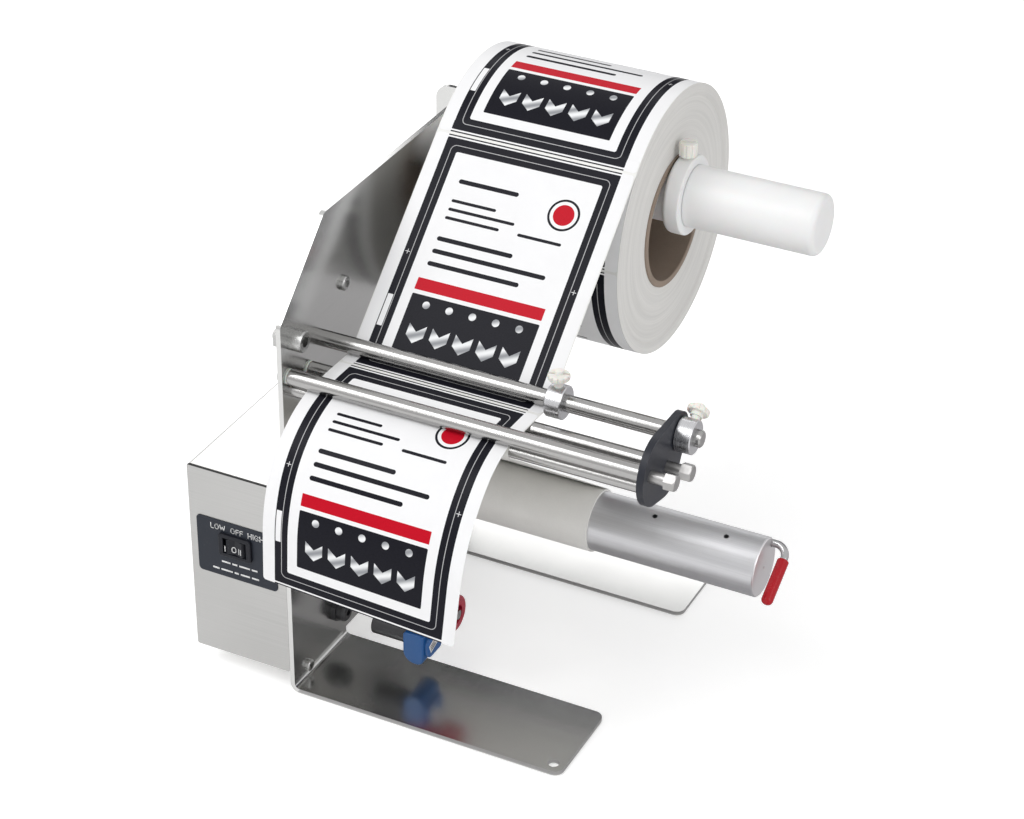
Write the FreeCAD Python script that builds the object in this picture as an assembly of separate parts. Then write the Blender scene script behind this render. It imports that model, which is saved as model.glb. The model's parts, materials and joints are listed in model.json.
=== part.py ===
import FreeCAD, Part
import os
from math import acos, atan2, cos, hypot, pi, radians, sin, sqrt, tan

V = FreeCAD.Vector

# All sizes in millimetres. While it is built, the machine stands with the inner face of its
# side plate at x = 0, the plate's front edge at y = 0 and the bench at z = 0. The last step
# moves everything so that the origin lies midway between the two bench screw holes.

# Bent stainless chassis
sheet = 3.0
bend = 3.0
plate_height = 306.0
plate_depth = 236.0
front_height = 257.0
slope_run = 52.0
foot_reach = 179.5
front_foot = 63.5
rear_foot = 57.5
foot_raise = 8.0
flange_width = 24.0
foot_hole_d = 7.0
foot_hole_inset = 7.5

# Motor housing on the outer side of the plate
box_out = 66.0
box_low = 14.0
box_height = 132.0
box_depth = 165.0
box_sheet = 1.2

# Bars across the front and the black plate that joins their ends
reach = 222.0
bar_d = 10.0
axle_d = 7.0
bar_end = 240.0
bar_thread = 5.0
web_lift = 0.3
end_plate_t = 4.0
peel_d = 8.0
collar_d = 20.0
collar_w = 10.0

# Supply spindle, core and roll of labels
spindle_d = 38.0
spindle_len = 241.5
core_in_d = 76.0
core_wall = 4.0
roll_d = 167.0
web_x0 = 18.0
web_width = 129.0
label_margin = 0.5
web_t = 0.4

# The label hangs on three arcs and a straight end. Each side has its own radii, as shares of the
# length, so the label is a little twisted, and the paper runs slightly towards the plate.
label_drop = 125.6
plate_side_arcs = (0.517, 0.460, 0.702)
free_side_arcs = (0.437, 0.748, 0.784)
web_drift = 5.6
label_drift = 2.7

# Take-up mandrel for the empty liner
mandrel_d = 37.0
mandrel_x0 = 6.0
mandrel_x1 = 254.0
liner_wound = 1.2
clip_d = 4.8
clip_angle = 42.0
grip_angle = 210.5

# Clearances
run = 0.05
clear = 0.3

# Bar positions hang from the top of the plate's front edge
front_bar = (7.4, front_height - 35.5)
upper_bar = (45.5, front_height - 29.5)
rear_bar_y = 29.9
spindle = (plate_depth - 19.0, plate_height - 27.0)
core = (spindle[0], spindle[1] - core_in_d / 2 + spindle_d / 2 + run)
mandrel = (box_depth - 45.7, box_low + box_height - 45.7)
web_x1 = web_x0 + web_width

parts = {}


def box(x0, x1, y0, y1, z0, z1):
    return Part.makeBox(x1 - x0, y1 - y0, z1 - z0, V(x0, y0, z0))


def rod_x(x0, x1, at, d):
    return Part.makeCylinder(d / 2, x1 - x0, V(x0, at[0], at[1]), V(1, 0, 0))


def place(shape, origin, direction, turn=0.0):
    """Put a shape built along +Z at origin with its axis along direction."""
    out = shape.copy()
    spin = FreeCAD.Rotation(V(0, 0, 1), turn)
    aim = FreeCAD.Rotation(V(0, 0, 1), V(*direction))
    out.Placement = FreeCAD.Placement(V(*origin), aim.multiply(spin))
    return out


def drill(shape, origin, direction, d, depth):
    return shape.cut(place(Part.makeCylinder(d / 2, depth), origin, direction))


def hex_prism(flats, length, z=0.0):
    r = flats / sqrt(3)
    points = [V(r * cos(radians(60 * i)), r * sin(radians(60 * i)), z) for i in range(7)]
    return Part.Face(Part.makePolygon(points)).extrude(V(0, 0, length))


def soften(shape, radius, wanted):
    """Round the edges for which wanted(edge) is true."""
    edges = [e for e in shape.Edges if wanted(e)]
    return shape.makeFillet(radius, edges) if edges else shape


def bevel(shape, size, wanted):
    edges = [e for e in shape.Edges if wanted(e)]
    return shape.makeChamfer(size, edges) if edges else shape


def circle_at(x):
    """Pick the round edges that lie across x."""
    return lambda e: e.Curve.TypeId == "Part::GeomCircle" and abs(e.BoundBox.XMin - x) < 1e-4 \
        and abs(e.BoundBox.XMax - x) < 1e-4


def circle_at_z(z, d=None):
    def pick(e):
        flat = e.Curve.TypeId == "Part::GeomCircle" and abs(e.BoundBox.ZMin - z) < 1e-4 \
            and abs(e.BoundBox.ZMax - z) < 1e-4
        return flat and (d is None or abs(2 * e.Curve.Radius - d) < 1e-3)
    return pick


def rounded_wire(corners, lift):
    """Closed wire through 2-D corners (a, b, radius); lift turns (a, b) into a 3-D point."""
    n = len(corners)
    starts, ends, mids = [], [], []
    for i, (a, b, r) in enumerate(corners):
        pa, pb = corners[i - 1][:2], corners[(i + 1) % n][:2]
        u = (pa[0] - a, pa[1] - b)
        w = (pb[0] - a, pb[1] - b)
        lu, lw = hypot(*u), hypot(*w)
        u = (u[0] / lu, u[1] / lu)
        w = (w[0] / lw, w[1] / lw)
        half = acos(max(-1.0, min(1.0, u[0] * w[0] + u[1] * w[1]))) / 2
        cut = r / tan(half)
        starts.append((a + u[0] * cut, b + u[1] * cut))
        ends.append((a + w[0] * cut, b + w[1] * cut))
        m = (u[0] + w[0], u[1] + w[1])
        lm = hypot(*m) or 1.0
        reach_in = r / sin(half) - r
        mids.append((a + m[0] / lm * reach_in, b + m[1] / lm * reach_in))
    edges = []
    for i in range(n):
        if corners[i][2] > 0:
            edges.append(Part.Arc(lift(*starts[i]), lift(*mids[i]), lift(*ends[i])).toShape())
        j = (i + 1) % n
        if hypot(ends[i][0] - starts[j][0], ends[i][1] - starts[j][1]) > 1e-6:
            edges.append(Part.makeLine(lift(*ends[i]), lift(*starts[j])))
    return Part.Wire(edges)


def slab_x(corners, x0, x1):
    """Plate with a rounded outline in y and z, from x0 to x1."""
    wire = rounded_wire(corners, lambda a, b: V(x0, a, b))
    return Part.Face(wire).extrude(V(x1 - x0, 0, 0))


def slab_y(corners, y0, y1):
    wire = rounded_wire(corners, lambda a, b: V(a, y0, b))
    return Part.Face(wire).extrude(V(0, y1 - y0, 0))


def slab_z(corners, z0, z1):
    wire = rounded_wire(corners, lambda a, b: V(a, b, z0))
    return Part.Face(wire).extrude(V(0, 0, z1 - z0))


def rect(a0, a1, b0, b1, r):
    return [(a0, b0, r), (a1, b0, r), (a1, b1, r), (a0, b1, r)]


def tangent(c1, s1, c2, s2):
    """Touching points of a line that runs past two circles. A circle left of the travel has a
    positive radius, one on the right a negative radius."""
    dy, dz = c2[0] - c1[0], c2[1] - c1[1]
    beta = atan2(dz, dy) + acos((s2 - s1) / hypot(dy, dz))
    n = (cos(beta), sin(beta))
    p = (c1[0] - n[0] * s1, c1[1] - n[1] * s1)
    q = (c2[0] - n[0] * s2, c2[1] - n[1] * s2)
    return p, q, beta


class Track:
    """Path of a sheet in the y-z plane, made of lines and arcs that meet smoothly."""

    def __init__(self, start, heading):
        self.point = start
        self.heading = heading
        self.pieces = []

    def line(self, length):
        y, z = self.point
        end = (y + length * cos(self.heading), z + length * sin(self.heading))
        self.pieces.append(("line", self.point, end, self.heading))
        self.point = end
        return self

    def turn(self, radius, angle):
        """Turn left for a positive angle, right for a negative one, in radians."""
        side = 1 if angle > 0 else -1
        y, z = self.point
        h = self.heading
        centre = (y - side * radius * sin(h), z + side * radius * cos(h))
        a0 = h - side * pi / 2
        self.pieces.append(("arc", centre, radius, a0, angle))
        self.heading = h + angle
        a1 = a0 + angle
        self.point = (centre[0] + radius * cos(a1), centre[1] + radius * sin(a1))
        return self

    def edge(self, x, off):
        """Edges of the path moved off to its left."""
        out = []
        for piece in self.pieces:
            if piece[0] == "line":
                h = piece[3]
                n = (-sin(h) * off, cos(h) * off)
                p = V(x, piece[1][0] + n[0], piece[1][1] + n[1])
                q = V(x, piece[2][0] + n[0], piece[2][1] + n[1])
                out.append(Part.makeLine(p, q))
            else:
                _, c, r, a0, angle = piece
                rr = r - off if angle > 0 else r + off
                pts = [V(x, c[0] + rr * cos(a0 + angle * k / 2), c[1] + rr * sin(a0 + angle * k / 2))
                       for k in range(3)]
                out.append(Part.Arc(*pts).toShape())
        return out

    def ribbon(self, x0, x1, low, high):
        """Sheet along the path between two offsets, from x0 to x1."""
        a = self.edge(x0, low)
        b = self.edge(x0, high)
        cap0 = Part.makeLine(b[0].firstVertex().Point, a[0].firstVertex().Point)
        cap1 = Part.makeLine(a[-1].lastVertex().Point, b[-1].lastVertex().Point)
        wire = Part.Wire(Part.__sortEdges__(a + [cap1] + b + [cap0]))
        return Part.Face(wire).extrude(V(x1 - x0, 0, 0))


def skew_x(shape, per_mm, from_y):
    """Move every point along x by per_mm for each millimetre it lies past from_y."""
    shear = FreeCAD.Matrix(1, per_mm, 0, -per_mm * from_y, 0, 1, 0, 0, 0, 0, 1, 0, 0, 0, 0, 1)
    return shape.transformGeometry(shear)


def gear_face(teeth, module, tooth_at, backlash, pressure=25.0):
    """Spur gear outline round the origin in the x-y plane; tooth_at is one tooth's angle."""
    alpha = radians(pressure)
    rp = module * teeth / 2
    rb = rp * cos(alpha)
    ra = rp + module
    rf = rp - 1.2 * module
    inv_a = tan(alpha) - alpha
    half = pi / (2 * teeth) - backlash / (2 * rp)
    pitch = 2 * pi / teeth
    steps = [max(rb, rf) + (ra - max(rb, rf)) * k / 4 for k in range(5)]
    flank = []
    for r in steps:
        phi = acos(min(1.0, rb / r))
        flank.append((r, half + inv_a - (tan(phi) - phi)))
    points = []
    for i in range(teeth):
        c = tooth_at + i * pitch
        points.append((rf, c - flank[0][1] - 0.02 * pitch))
        points += [(r, c - w) for r, w in flank]
        points += [(r, c + w) for r, w in reversed(flank)]
        points.append((rf, c + flank[0][1] + 0.02 * pitch))
    pts = [V(r * cos(a), r * sin(a), 0) for r, a in points]
    return Part.Face(Part.makePolygon(pts + [pts[0]]))


def pan_screw(d, length, head_d, head_h, drive):
    """Screw along +Z whose head sits below z = 0 and whose shank runs up."""
    head = Part.makeCylinder(head_d / 2, head_h, V(0, 0, -head_h))
    head = soften(head, head_h * 0.45, circle_at_z(-head_h, head_d))
    shank = Part.makeCylinder(d / 2, length, V(0, 0, -0.2))
    shank = bevel(shank, d * 0.12, circle_at_z(length - 0.2, d))
    body = head.fuse(shank)
    deep = head_h * 0.6
    if drive == "cross":
        w, s = head_d * 0.62, head_d * 0.12
        for a, b in ((w, s), (s, w)):
            body = body.cut(Part.makeBox(a, b, deep, V(-a / 2, -b / 2, -head_h)))
    elif drive == "slot":
        s = head_d * 0.16
        body = body.cut(Part.makeBox(head_d + 2, s, deep, V(-head_d / 2 - 1, -s / 2, -head_h)))
    else:
        body = body.cut(hex_prism(head_d * 0.46, deep, -head_h))
    return body.removeSplitter()


def cap_screw(d, length, head_d, head_h):
    head = Part.makeCylinder(head_d / 2, head_h, V(0, 0, -head_h))
    head = bevel(head, 0.8, circle_at_z(-head_h, head_d))
    shank = Part.makeCylinder(d / 2, length)
    shank = bevel(shank, d * 0.12, circle_at_z(length, d))
    body = head.fuse(shank)
    return body.cut(hex_prism(d * 0.75, head_h * 0.6, -head_h)).removeSplitter()


def hex_nut(d, flats, height):
    body = hex_prism(flats, height)
    cone = Part.makeCone(flats / 2 - 0.2, flats / 2 + height * 2, height * 2 + 0.2, V(0, 0, 0))
    body = body.common(cone)
    return body.cut(Part.makeCylinder(d / 2, height))


def thumb_screw(tip, stem_d, head_at, head_d, head_t, ribs):
    """Nylon screw along +Z: tip at z = 0, round flat head above head_at."""
    stem = Part.makeCylinder(stem_d / 2, head_at + 0.5, V(0, 0, tip))
    stem = bevel(stem, stem_d * 0.14, circle_at_z(tip, stem_d))
    neck = Part.makeCylinder(stem_d * 0.72, 2.2, V(0, 0, head_at - 2.2))
    head = Part.makeCylinder(head_d / 2, head_t, V(0, 0, head_at))
    head = soften(head, head_t * 0.3, circle_at_z(head_at, head_d))
    head = soften(head, head_t * 0.3, circle_at_z(head_at + head_t, head_d))
    for i in range(ribs):
        a = 2 * pi * i / ribs
        bite_at = V(head_d / 2 * cos(a), head_d / 2 * sin(a), head_at)
        head = head.cut(Part.makeCylinder(head_d * 0.05, head_t, bite_at))
    body = stem.fuse([neck, head]).removeSplitter()
    slot = Part.makeBox(head_d * 0.9, head_t * 0.35, head_t * 0.4,
                        V(-head_d * 0.45, -head_t * 0.175, head_at + head_t * 0.6))
    return body.cut(slot)


def wedge_angle(angle):
    return (0.0, cos(radians(angle)), sin(radians(angle)))


# Chassis: side plate, two feet bent inwards and a rear flange bent outwards
outer = sheet + bend


def foot(y0, y1):
    corner = box(-sheet, bend, y0, y1, 0, outer)
    roll = Part.makeCylinder(outer, y1 - y0, V(bend, y0, outer), V(0, 1, 0))
    roll = roll.cut(Part.makeCylinder(bend, y1 - y0, V(bend, y0, outer), V(0, 1, 0)))
    quarter = roll.common(corner)
    flat = box(bend, foot_reach, y0, y1, 0, sheet)
    flat = soften(flat, 6.0, lambda e: abs(e.BoundBox.XMin - foot_reach) < 1e-4
                  and e.BoundBox.ZLength > sheet - 0.01)
    return quarter.fuse(flat)


rear_y0 = plate_depth - rear_foot
side = slab_x([(0, outer, 0), (front_foot, outer, 0), (front_foot, foot_raise, 0), (rear_y0, foot_raise, 0),
               (rear_y0, outer, 0), (plate_depth - outer, outer, 0), (plate_depth - outer, plate_height, 0),
               (slope_run, plate_height, 8.0), (0, front_height, 6.0)], -sheet, 0)
turn_box = box(-outer, 0, plate_depth - outer, plate_depth, foot_raise, plate_height)
turn_at = V(-outer, plate_depth - outer, foot_raise)
turn = Part.makeCylinder(outer, plate_height - foot_raise, turn_at)
turn = turn.cut(Part.makeCylinder(bend, plate_height - foot_raise, turn_at))
turn = turn.common(turn_box)
flange = slab_y([(-flange_width, foot_raise, 4.0), (-outer, foot_raise, 0), (-outer, plate_height, 0),
                 (-flange_width, plate_height, 9.0)], plate_depth - sheet, plate_depth)
feet = [foot(0, front_foot), foot(rear_y0, plate_depth - outer)]
chassis = side.fuse([turn, flange] + feet).removeSplitter()
foot_holes = [(foot_reach - foot_hole_inset, foot_hole_inset),
              (foot_reach - foot_hole_inset, plate_depth - outer - foot_hole_inset)]
for hx, hy in foot_holes:
    chassis = drill(chassis, (hx, hy, -1), (0, 0, 1), foot_hole_d, sheet + 2)

# Screw places on the side plate
cap_at = (13.6, front_height - 14.0)
button_at = (71.4, front_height - 6.0)
rod_at = (52.0, box_low + 39.0)
gland_at = (52.0, box_low + 15.0)
tab_y = (16.4, box_depth - 24.0)
cover_head_d = 7.6
tab_low = outer + cover_head_d / 2
tab_high = box_low + box_height + 6.0
gear_module = 0.8
pinion_teeth = 14
gear_teeth = 56
gear_gap = gear_module * (pinion_teeth + gear_teeth) / 2
motor_at = (mandrel[0] - gear_gap, mandrel[1])
gearbox = (motor_at[0] - 16.0, mandrel[0] + 29.0, mandrel[1] - 29.0, mandrel[1] + 29.0)
gearbox_screws = [(y, z) for y in (gearbox[0] + 5.0, gearbox[1] - 5.0)
                  for z in (gearbox[2] + 5.0, gearbox[3] - 5.0)]
board_w = 44.0
board_mid = (box_sheet + gearbox[0]) / 2
board_y = (board_mid - board_w / 2, board_mid + board_w / 2)
board_z = (mandrel[1] - 34.0, mandrel[1] + 36.0)
standoffs = [(y, z) for y in (board_y[0] + 4.0, board_y[1] - 4.0)
             for z in (board_z[0] + 4.0, board_z[1] - 4.0)]

# The rear bar lifts the web a little off its straight way between the upper and front bars, and
# the peel bar lies under the front bar, one sheet thickness away
off_web = run + web_t / 2
bar_side = bar_d / 2 + off_web
from_p, _, straight = tangent(upper_bar, -bar_side, front_bar, -bar_side)
along_web = (rear_bar_y - from_p[0] - cos(straight) * (bar_side - web_lift)) / sin(straight)
rear_bar = (rear_bar_y, from_p[1] - cos(straight) * along_web + sin(straight) * (bar_side - web_lift))
turns = [(core, roll_d / 2 + off_web), (upper_bar, -bar_side), (rear_bar, bar_side),
         (front_bar, -bar_side)]
lines = [tangent(turns[i][0], turns[i][1], turns[i + 1][0], turns[i + 1][1]) for i in range(3)]
nip = lines[2][1]
nip_heading = lines[2][2] - pi / 2
side_step = peel_d / 2 + off_web
peel_bar = (nip[0] - sin(nip_heading) * side_step, nip[1] + cos(nip_heading) * side_step)

bar_places = [front_bar, upper_bar, rear_bar, peel_bar, rod_at]
for centre in bar_places:
    chassis = drill(chassis, (-sheet - 1, *centre), (1, 0, 0), bar_thread + clear, sheet + 2)
for centre, d in ((cap_at, 8.4), (button_at, 5.4), (spindle, 8.4), (gland_at, 12.2), (mandrel, 16.0)):
    chassis = drill(chassis, (-sheet - 1, *centre), (1, 0, 0), d, sheet + 2)
for y in tab_y:
    for z in (tab_low, tab_high):
        chassis = drill(chassis, (-sheet - 1, y, z), (1, 0, 0), 4.2, sheet + 2)
for centre in gearbox_screws:
    chassis = drill(chassis, (-sheet - 1, *centre), (1, 0, 0), 4.2, sheet + 2)
for centre in standoffs:
    chassis = drill(chassis, (-sheet - 1, *centre), (1, 0, 0), 3.2, sheet + 2)
parts["chassis"] = chassis

# Motor housing: a folded cover with a front panel and a rear panel
bx0, bx1 = -sheet - box_out, -sheet
bz0, bz1 = box_low, box_low + box_height
seam = 0.25
cover = box(bx0, bx1, box_sheet + seam, box_depth - box_sheet - seam, bz0, bz1)
cover = soften(cover, 2.0, lambda e: abs(e.BoundBox.XMin - bx0) < 1e-4 and e.BoundBox.YLength > 50)
cover = cover.cut(box(bx0 + box_sheet, bx1 + 1, 0, box_depth, bz0 + box_sheet, bz1 - box_sheet))
tabs = []
for y in tab_y:
    for z0, z1 in ((tab_low - 5.0, bz0 + box_sheet), (bz1 - box_sheet, tab_high + 6.0)):
        tab = slab_x(rect(y - 8.0, y + 8.0, z0, z1, 0.6), bx1 - box_sheet, bx1)
        zc = tab_low if z0 < bz0 else tab_high
        tabs.append(drill(tab, (bx1 - box_sheet - 1, y, zc), (1, 0, 0), 4.0, 4.0))
cover = cover.fuse(tabs).removeSplitter()
vents = []
for i in range(6):
    y = mandrel[0] - 15.0 + 6.0 * i
    vents.append(slab_x(rect(y - 1.2, y + 1.2, bz0 + 26.0, bz0 + 50.0, 1.1), bx0 - 1, bx0 + 3))
parts["motor_cover"] = cover.cut(Part.makeCompound(vents))

switch_at = (bx0 + 32.0, box_low + 82.0)
cut_w, cut_h = 19.4, 13.2
panel_outline = rect(bx0, bx1 - 0.1, bz0, bz1, 1.5)
front_panel = slab_y(panel_outline, 0, box_sheet)
rims = []
rim_in = box_sheet + 0.1
rim_heights = [(bz0 + rim_in, bz0 + rim_in + box_sheet), (bz1 - rim_in - box_sheet, bz1 - rim_in)]
for z0, z1 in rim_heights:
    rims.append(box(bx0 + 8.0, bx1 - 8.0, box_sheet - 0.01, box_sheet + 9.0, z0, z1))
front_panel = front_panel.fuse(rims).removeSplitter()
front_panel = front_panel.cut(box(switch_at[0] - cut_w / 2, switch_at[0] + cut_w / 2, -1, 4,
                                  switch_at[1] - cut_h / 2, switch_at[1] + cut_h / 2))
parts["front_panel"] = front_panel

inlet_at = (bx0 + 20.0, bz0 + 24.0)
rear_panel = slab_y(panel_outline, box_depth - box_sheet, box_depth)
rear_rims = []
rim_y = box_depth - box_sheet
for z0, z1 in rim_heights:
    rear_rims.append(box(bx0 + 8.0, bx1 - 8.0, rim_y - 9.0, rim_y + 0.01, z0, z1))
rear_panel = rear_panel.fuse(rear_rims).removeSplitter()
parts["rear_panel"] = drill(rear_panel, (inlet_at[0], box_depth - 5, inlet_at[1]), (0, 1, 0), 11.2, 10)

cover_screws = []
for y in tab_y:
    for z in (tab_low, tab_high):
        screw = pan_screw(4.0, 7.0, cover_head_d, 2.6, "cross")
        cover_screws.append(place(screw, (0, y, z), (-1, 0, 0), 20.0))
parts["cover_screws"] = Part.makeCompound(cover_screws)

# Switch panel with a three position rocker that tips left and right
plate_w, plate_h = box_out - 11.0, 40.0
panel_x0 = bx0 + 5.0
panel_z0 = box_low + 58.0
switch_panel = slab_y(rect(panel_x0, panel_x0 + plate_w, panel_z0, panel_z0 + plate_h, 2.6), -0.5, 0)
switch_panel = switch_panel.cut(box(switch_at[0] - cut_w / 2, switch_at[0] + cut_w / 2, -2, 4,
                                    switch_at[1] - cut_h / 2, switch_at[1] + cut_h / 2))
parts["switch_panel"] = switch_panel

bezel_w, bezel_h, bezel_t = 22.4, 15.6, 2.0
rocker_w, rocker_h = 15.6, 10.4
pivot_y = 3.0
sx, sz = switch_at
bezel = slab_y(rect(sx - bezel_w / 2, sx + bezel_w / 2, sz - bezel_h / 2, sz + bezel_h / 2, 1.6),
               -0.5 - bezel_t, -0.5)
bezel = soften(bezel, 0.6, lambda e: abs(e.BoundBox.YMax + 0.5 + bezel_t) < 1e-4)
barrel_w, barrel_h = cut_w - 0.2, cut_h - 0.2
barrel = box(sx - barrel_w / 2, sx + barrel_w / 2, -0.6, 20.0, sz - barrel_h / 2, sz + barrel_h / 2)
bezel = bezel.fuse(barrel)
rock_r = rocker_w / 2
well_r = rock_r + clear
well_z = sz - rocker_h / 2 - clear
hollow = Part.makeCylinder(well_r, rocker_h + 2 * clear, V(sx, pivot_y, well_z))
mouth = box(sx - well_r, sx + well_r, -4, pivot_y, well_z, well_z + rocker_h + 2 * clear)
bezel = bezel.cut(hollow.fuse(mouth))
pivot_d = 2.0
pivot_end = rocker_h / 2 + 1.0
pivot_hole = Part.makeCylinder(pivot_d / 2 + run, 2 * pivot_end, V(sx, pivot_y, sz - pivot_end))
bezel = bezel.cut(pivot_hole)
blades = [box(sx + dx - 0.4, sx + dx + 0.4, 19.9, 27.0, sz - 2.4, sz + 2.4) for dx in (-6.0, 0.0, 6.0)]
parts["switch_body"] = bezel.fuse(blades).removeSplitter()

rocker = Part.makeCylinder(rock_r, rocker_h, V(sx, pivot_y, sz - rocker_h / 2))
tip = 12.0
for side_sign in (-1, 1):
    knife = Part.makeBox(30, 20, rocker_h + 2, V(0, -20, -1))
    knife.translate(V(0, -1.6 - pivot_y, 0))
    if side_sign < 0:
        knife.translate(V(-30, 0, 0))
    knife.rotate(V(0, -1.6 - pivot_y, 0), V(0, 0, 1), -side_sign * tip)
    knife.translate(V(sx, pivot_y, sz - rocker_h / 2))
    rocker = rocker.cut(knife)
back = pivot_y + 2.5
rocker = rocker.cut(box(sx - rock_r, sx + rock_r, back, back + rock_r, sz - rocker_h, sz + rocker_h))
pins = Part.makeCylinder(pivot_d / 2, 2 * pivot_end - 0.2, V(sx, pivot_y, sz - pivot_end + 0.1))
parts["switch_rocker"] = rocker.fuse(pins).removeSplitter()

# Power inlet on the rear panel
ix, iz = inlet_at
inlet = Part.makeCylinder(5.5, 16.0, V(ix, box_depth - 14.0, iz), V(0, 1, 0))
inlet = inlet.fuse(Part.makeCylinder(7.0, 2.0, V(ix, box_depth, iz), V(0, 1, 0)))
inlet = inlet.cut(Part.makeCylinder(3.2, 10.0, V(ix, box_depth - 7.5, iz), V(0, 1, 0)))
inlet = inlet.fuse(Part.makeCylinder(1.05, 10.0, V(ix, box_depth - 9.0, iz), V(0, 1, 0)))
parts["power_inlet"] = inlet.removeSplitter()
inlet_nut = place(hex_nut(11.0, 14.0, 2.5), (ix, box_depth - box_sheet, iz), (0, -1, 0))

# Gearmotor behind the plate
gx0 = -sheet - 21.0
gx_lid = gx0 + 3.0
housing = slab_x(rect(*gearbox, 6.0), gx_lid, -sheet)
pocket = rod_x(gx_lid - 1, -sheet - 3.0, mandrel, gear_module * gear_teeth + 4.0)
motor_screw_r = 10.0
small_head_d = 5.6
pocket_d = 2 * motor_screw_r + small_head_d + 2 * clear
pocket = pocket.fuse(rod_x(gx_lid - 1, -sheet - 3.0, motor_at, pocket_d))
housing = housing.cut(pocket)
housing = drill(housing, (-sheet - 4, *mandrel), (1, 0, 0), 16.0, 5)
for centre in gearbox_screws:
    housing = drill(housing, (-sheet, *centre), (-1, 0, 0), 4.0, 10.5)
    housing = drill(housing, (gx_lid, *centre), (1, 0, 0), 3.0, 7.0)
parts["gearbox_housing"] = housing

shaft_d = 10.0
bush_d = 16.0
lid = slab_x(rect(*gearbox, 6.0), gx0, gx_lid)
lid = drill(lid, (gx0 - 1, *mandrel), (1, 0, 0), 14.0, 5)
lid = drill(lid, (gx0 - 1, *motor_at), (1, 0, 0), 12.0, 5)
for centre in gearbox_screws:
    lid = drill(lid, (gx0 - 1, *centre), (1, 0, 0), 3.3, 5)
motor_holes = [(motor_at[0], motor_at[1] + side * motor_screw_r) for side in (-1, 1)]
for centre in motor_holes:
    lid = drill(lid, (gx0 - 1, *centre), (1, 0, 0), 3.3, 5)
parts["gearbox_lid"] = lid


def small_screw(length, x, centre, direction):
    return place(pan_screw(3.0, length, small_head_d, 2.0, "cross"), (x, *centre), (direction, 0, 0))


small_screws = [small_screw(9.0, gx0, centre, 1) for centre in gearbox_screws]
parts["gearbox_screws"] = Part.makeCompound(
    [place(pan_screw(4.0, 12.0, 7.6, 2.4, "hex"), (0, *centre), (-1, 0, 0)) for centre in gearbox_screws])

front_bush = rod_x(-sheet - 3.0, 0, mandrel, bush_d).fuse(rod_x(0, 1.6, mandrel, 21.0))
front_bush = front_bush.cut(rod_x(-10, 5, mandrel, shaft_d + 2 * run)).removeSplitter()
rear_bush = rod_x(gx0, gx_lid, mandrel, 14.0).fuse(rod_x(gx_lid, gx_lid + 1.2, mandrel, 18.0))
rear_bush = rear_bush.cut(rod_x(gx0 - 1, gx_lid + 2, mandrel, 8.0 + 2 * run)).removeSplitter()
parts["shaft_bushes"] = Part.makeCompound([front_bush, rear_bush])

motor_len = box_out - 30.0
motor_can = rod_x(gx0 - motor_len, gx0, motor_at, 34.0)
motor_can = soften(motor_can, 2.0, circle_at(gx0 - motor_len))
motor_can = motor_can.fuse(rod_x(gx0 - motor_len - 2.5, gx0 - motor_len, motor_at, 10.0))
motor_can = drill(motor_can, (gx0 + 1, *motor_at), (-1, 0, 0), 12.0, 3.0)
motor_can = drill(motor_can, (gx0, *motor_at), (-1, 0, 0), 4.0 + 2 * run, 22.0)
for centre in motor_holes:
    motor_can = drill(motor_can, (gx0, *centre), (-1, 0, 0), 3.0, 5.0)
motor_end = gx0 - motor_len
tags = []
for y in (motor_at[0] - 11.0, motor_at[0] + 11.0):
    tags.append(box(motor_end - 4.0, motor_end + 0.1, y - 1.5, y + 1.5,
                    motor_at[1] - 0.3, motor_at[1] + 0.3))
parts["motor_can"] = motor_can.fuse(tags).removeSplitter()
small_screws += [small_screw(7.0, gx_lid, centre, -1) for centre in motor_holes]

gear_x0, gear_x1 = -sheet - 13.0, -sheet - 5.0
parts["motor_shaft"] = bevel(rod_x(gx0 - 18.0, gear_x1 + 1.0, motor_at, 4.0), 0.4, circle_at(gear_x1 + 1.0))


def gear(teeth, at, width, tooth_at, backlash):
    face = gear_face(teeth, gear_module, tooth_at, backlash)
    body = face.extrude(V(0, 0, width))
    turned = body.copy()
    turned.rotate(V(0, 0, 0), V(1, 1, 1), 120)
    turned.translate(V(gear_x0, *at))
    return turned


pinion = gear(pinion_teeth, motor_at, gear_x1 - gear_x0, pi / pinion_teeth, 0.12)
parts["drive_pinion"] = pinion.cut(rod_x(gear_x0 - 1, gear_x1 + 1, motor_at, 4.0))
wheel = gear(gear_teeth, mandrel, gear_x1 - gear_x0, 0.0, 0.12)
wheel = wheel.fuse(rod_x(gear_x0 - 0.6, gear_x1 + 0.6, mandrel, 18.0))
wheel = wheel.cut(rod_x(gear_x0 - 1, gear_x1 + 1, mandrel, shaft_d))
for a in range(0, 360, 60):
    hole_at = (mandrel[0] + 14.0 * cos(radians(a)), mandrel[1] + 14.0 * sin(radians(a)))
    wheel = wheel.cut(rod_x(gear_x0 - 1, gear_x1 + 1, hole_at, 6.0))
parts["output_gear"] = wheel
bore_end = 46.0
shaft = rod_x(gear_x0 - 0.6, bore_end, mandrel, shaft_d)
shaft = shaft.fuse(rod_x(gx0 - 1.0, gear_x0 - 0.6, mandrel, 8.0))
shaft = bevel(shaft, 0.6, circle_at(bore_end))
parts["output_shaft"] = shaft.removeSplitter()

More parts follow.
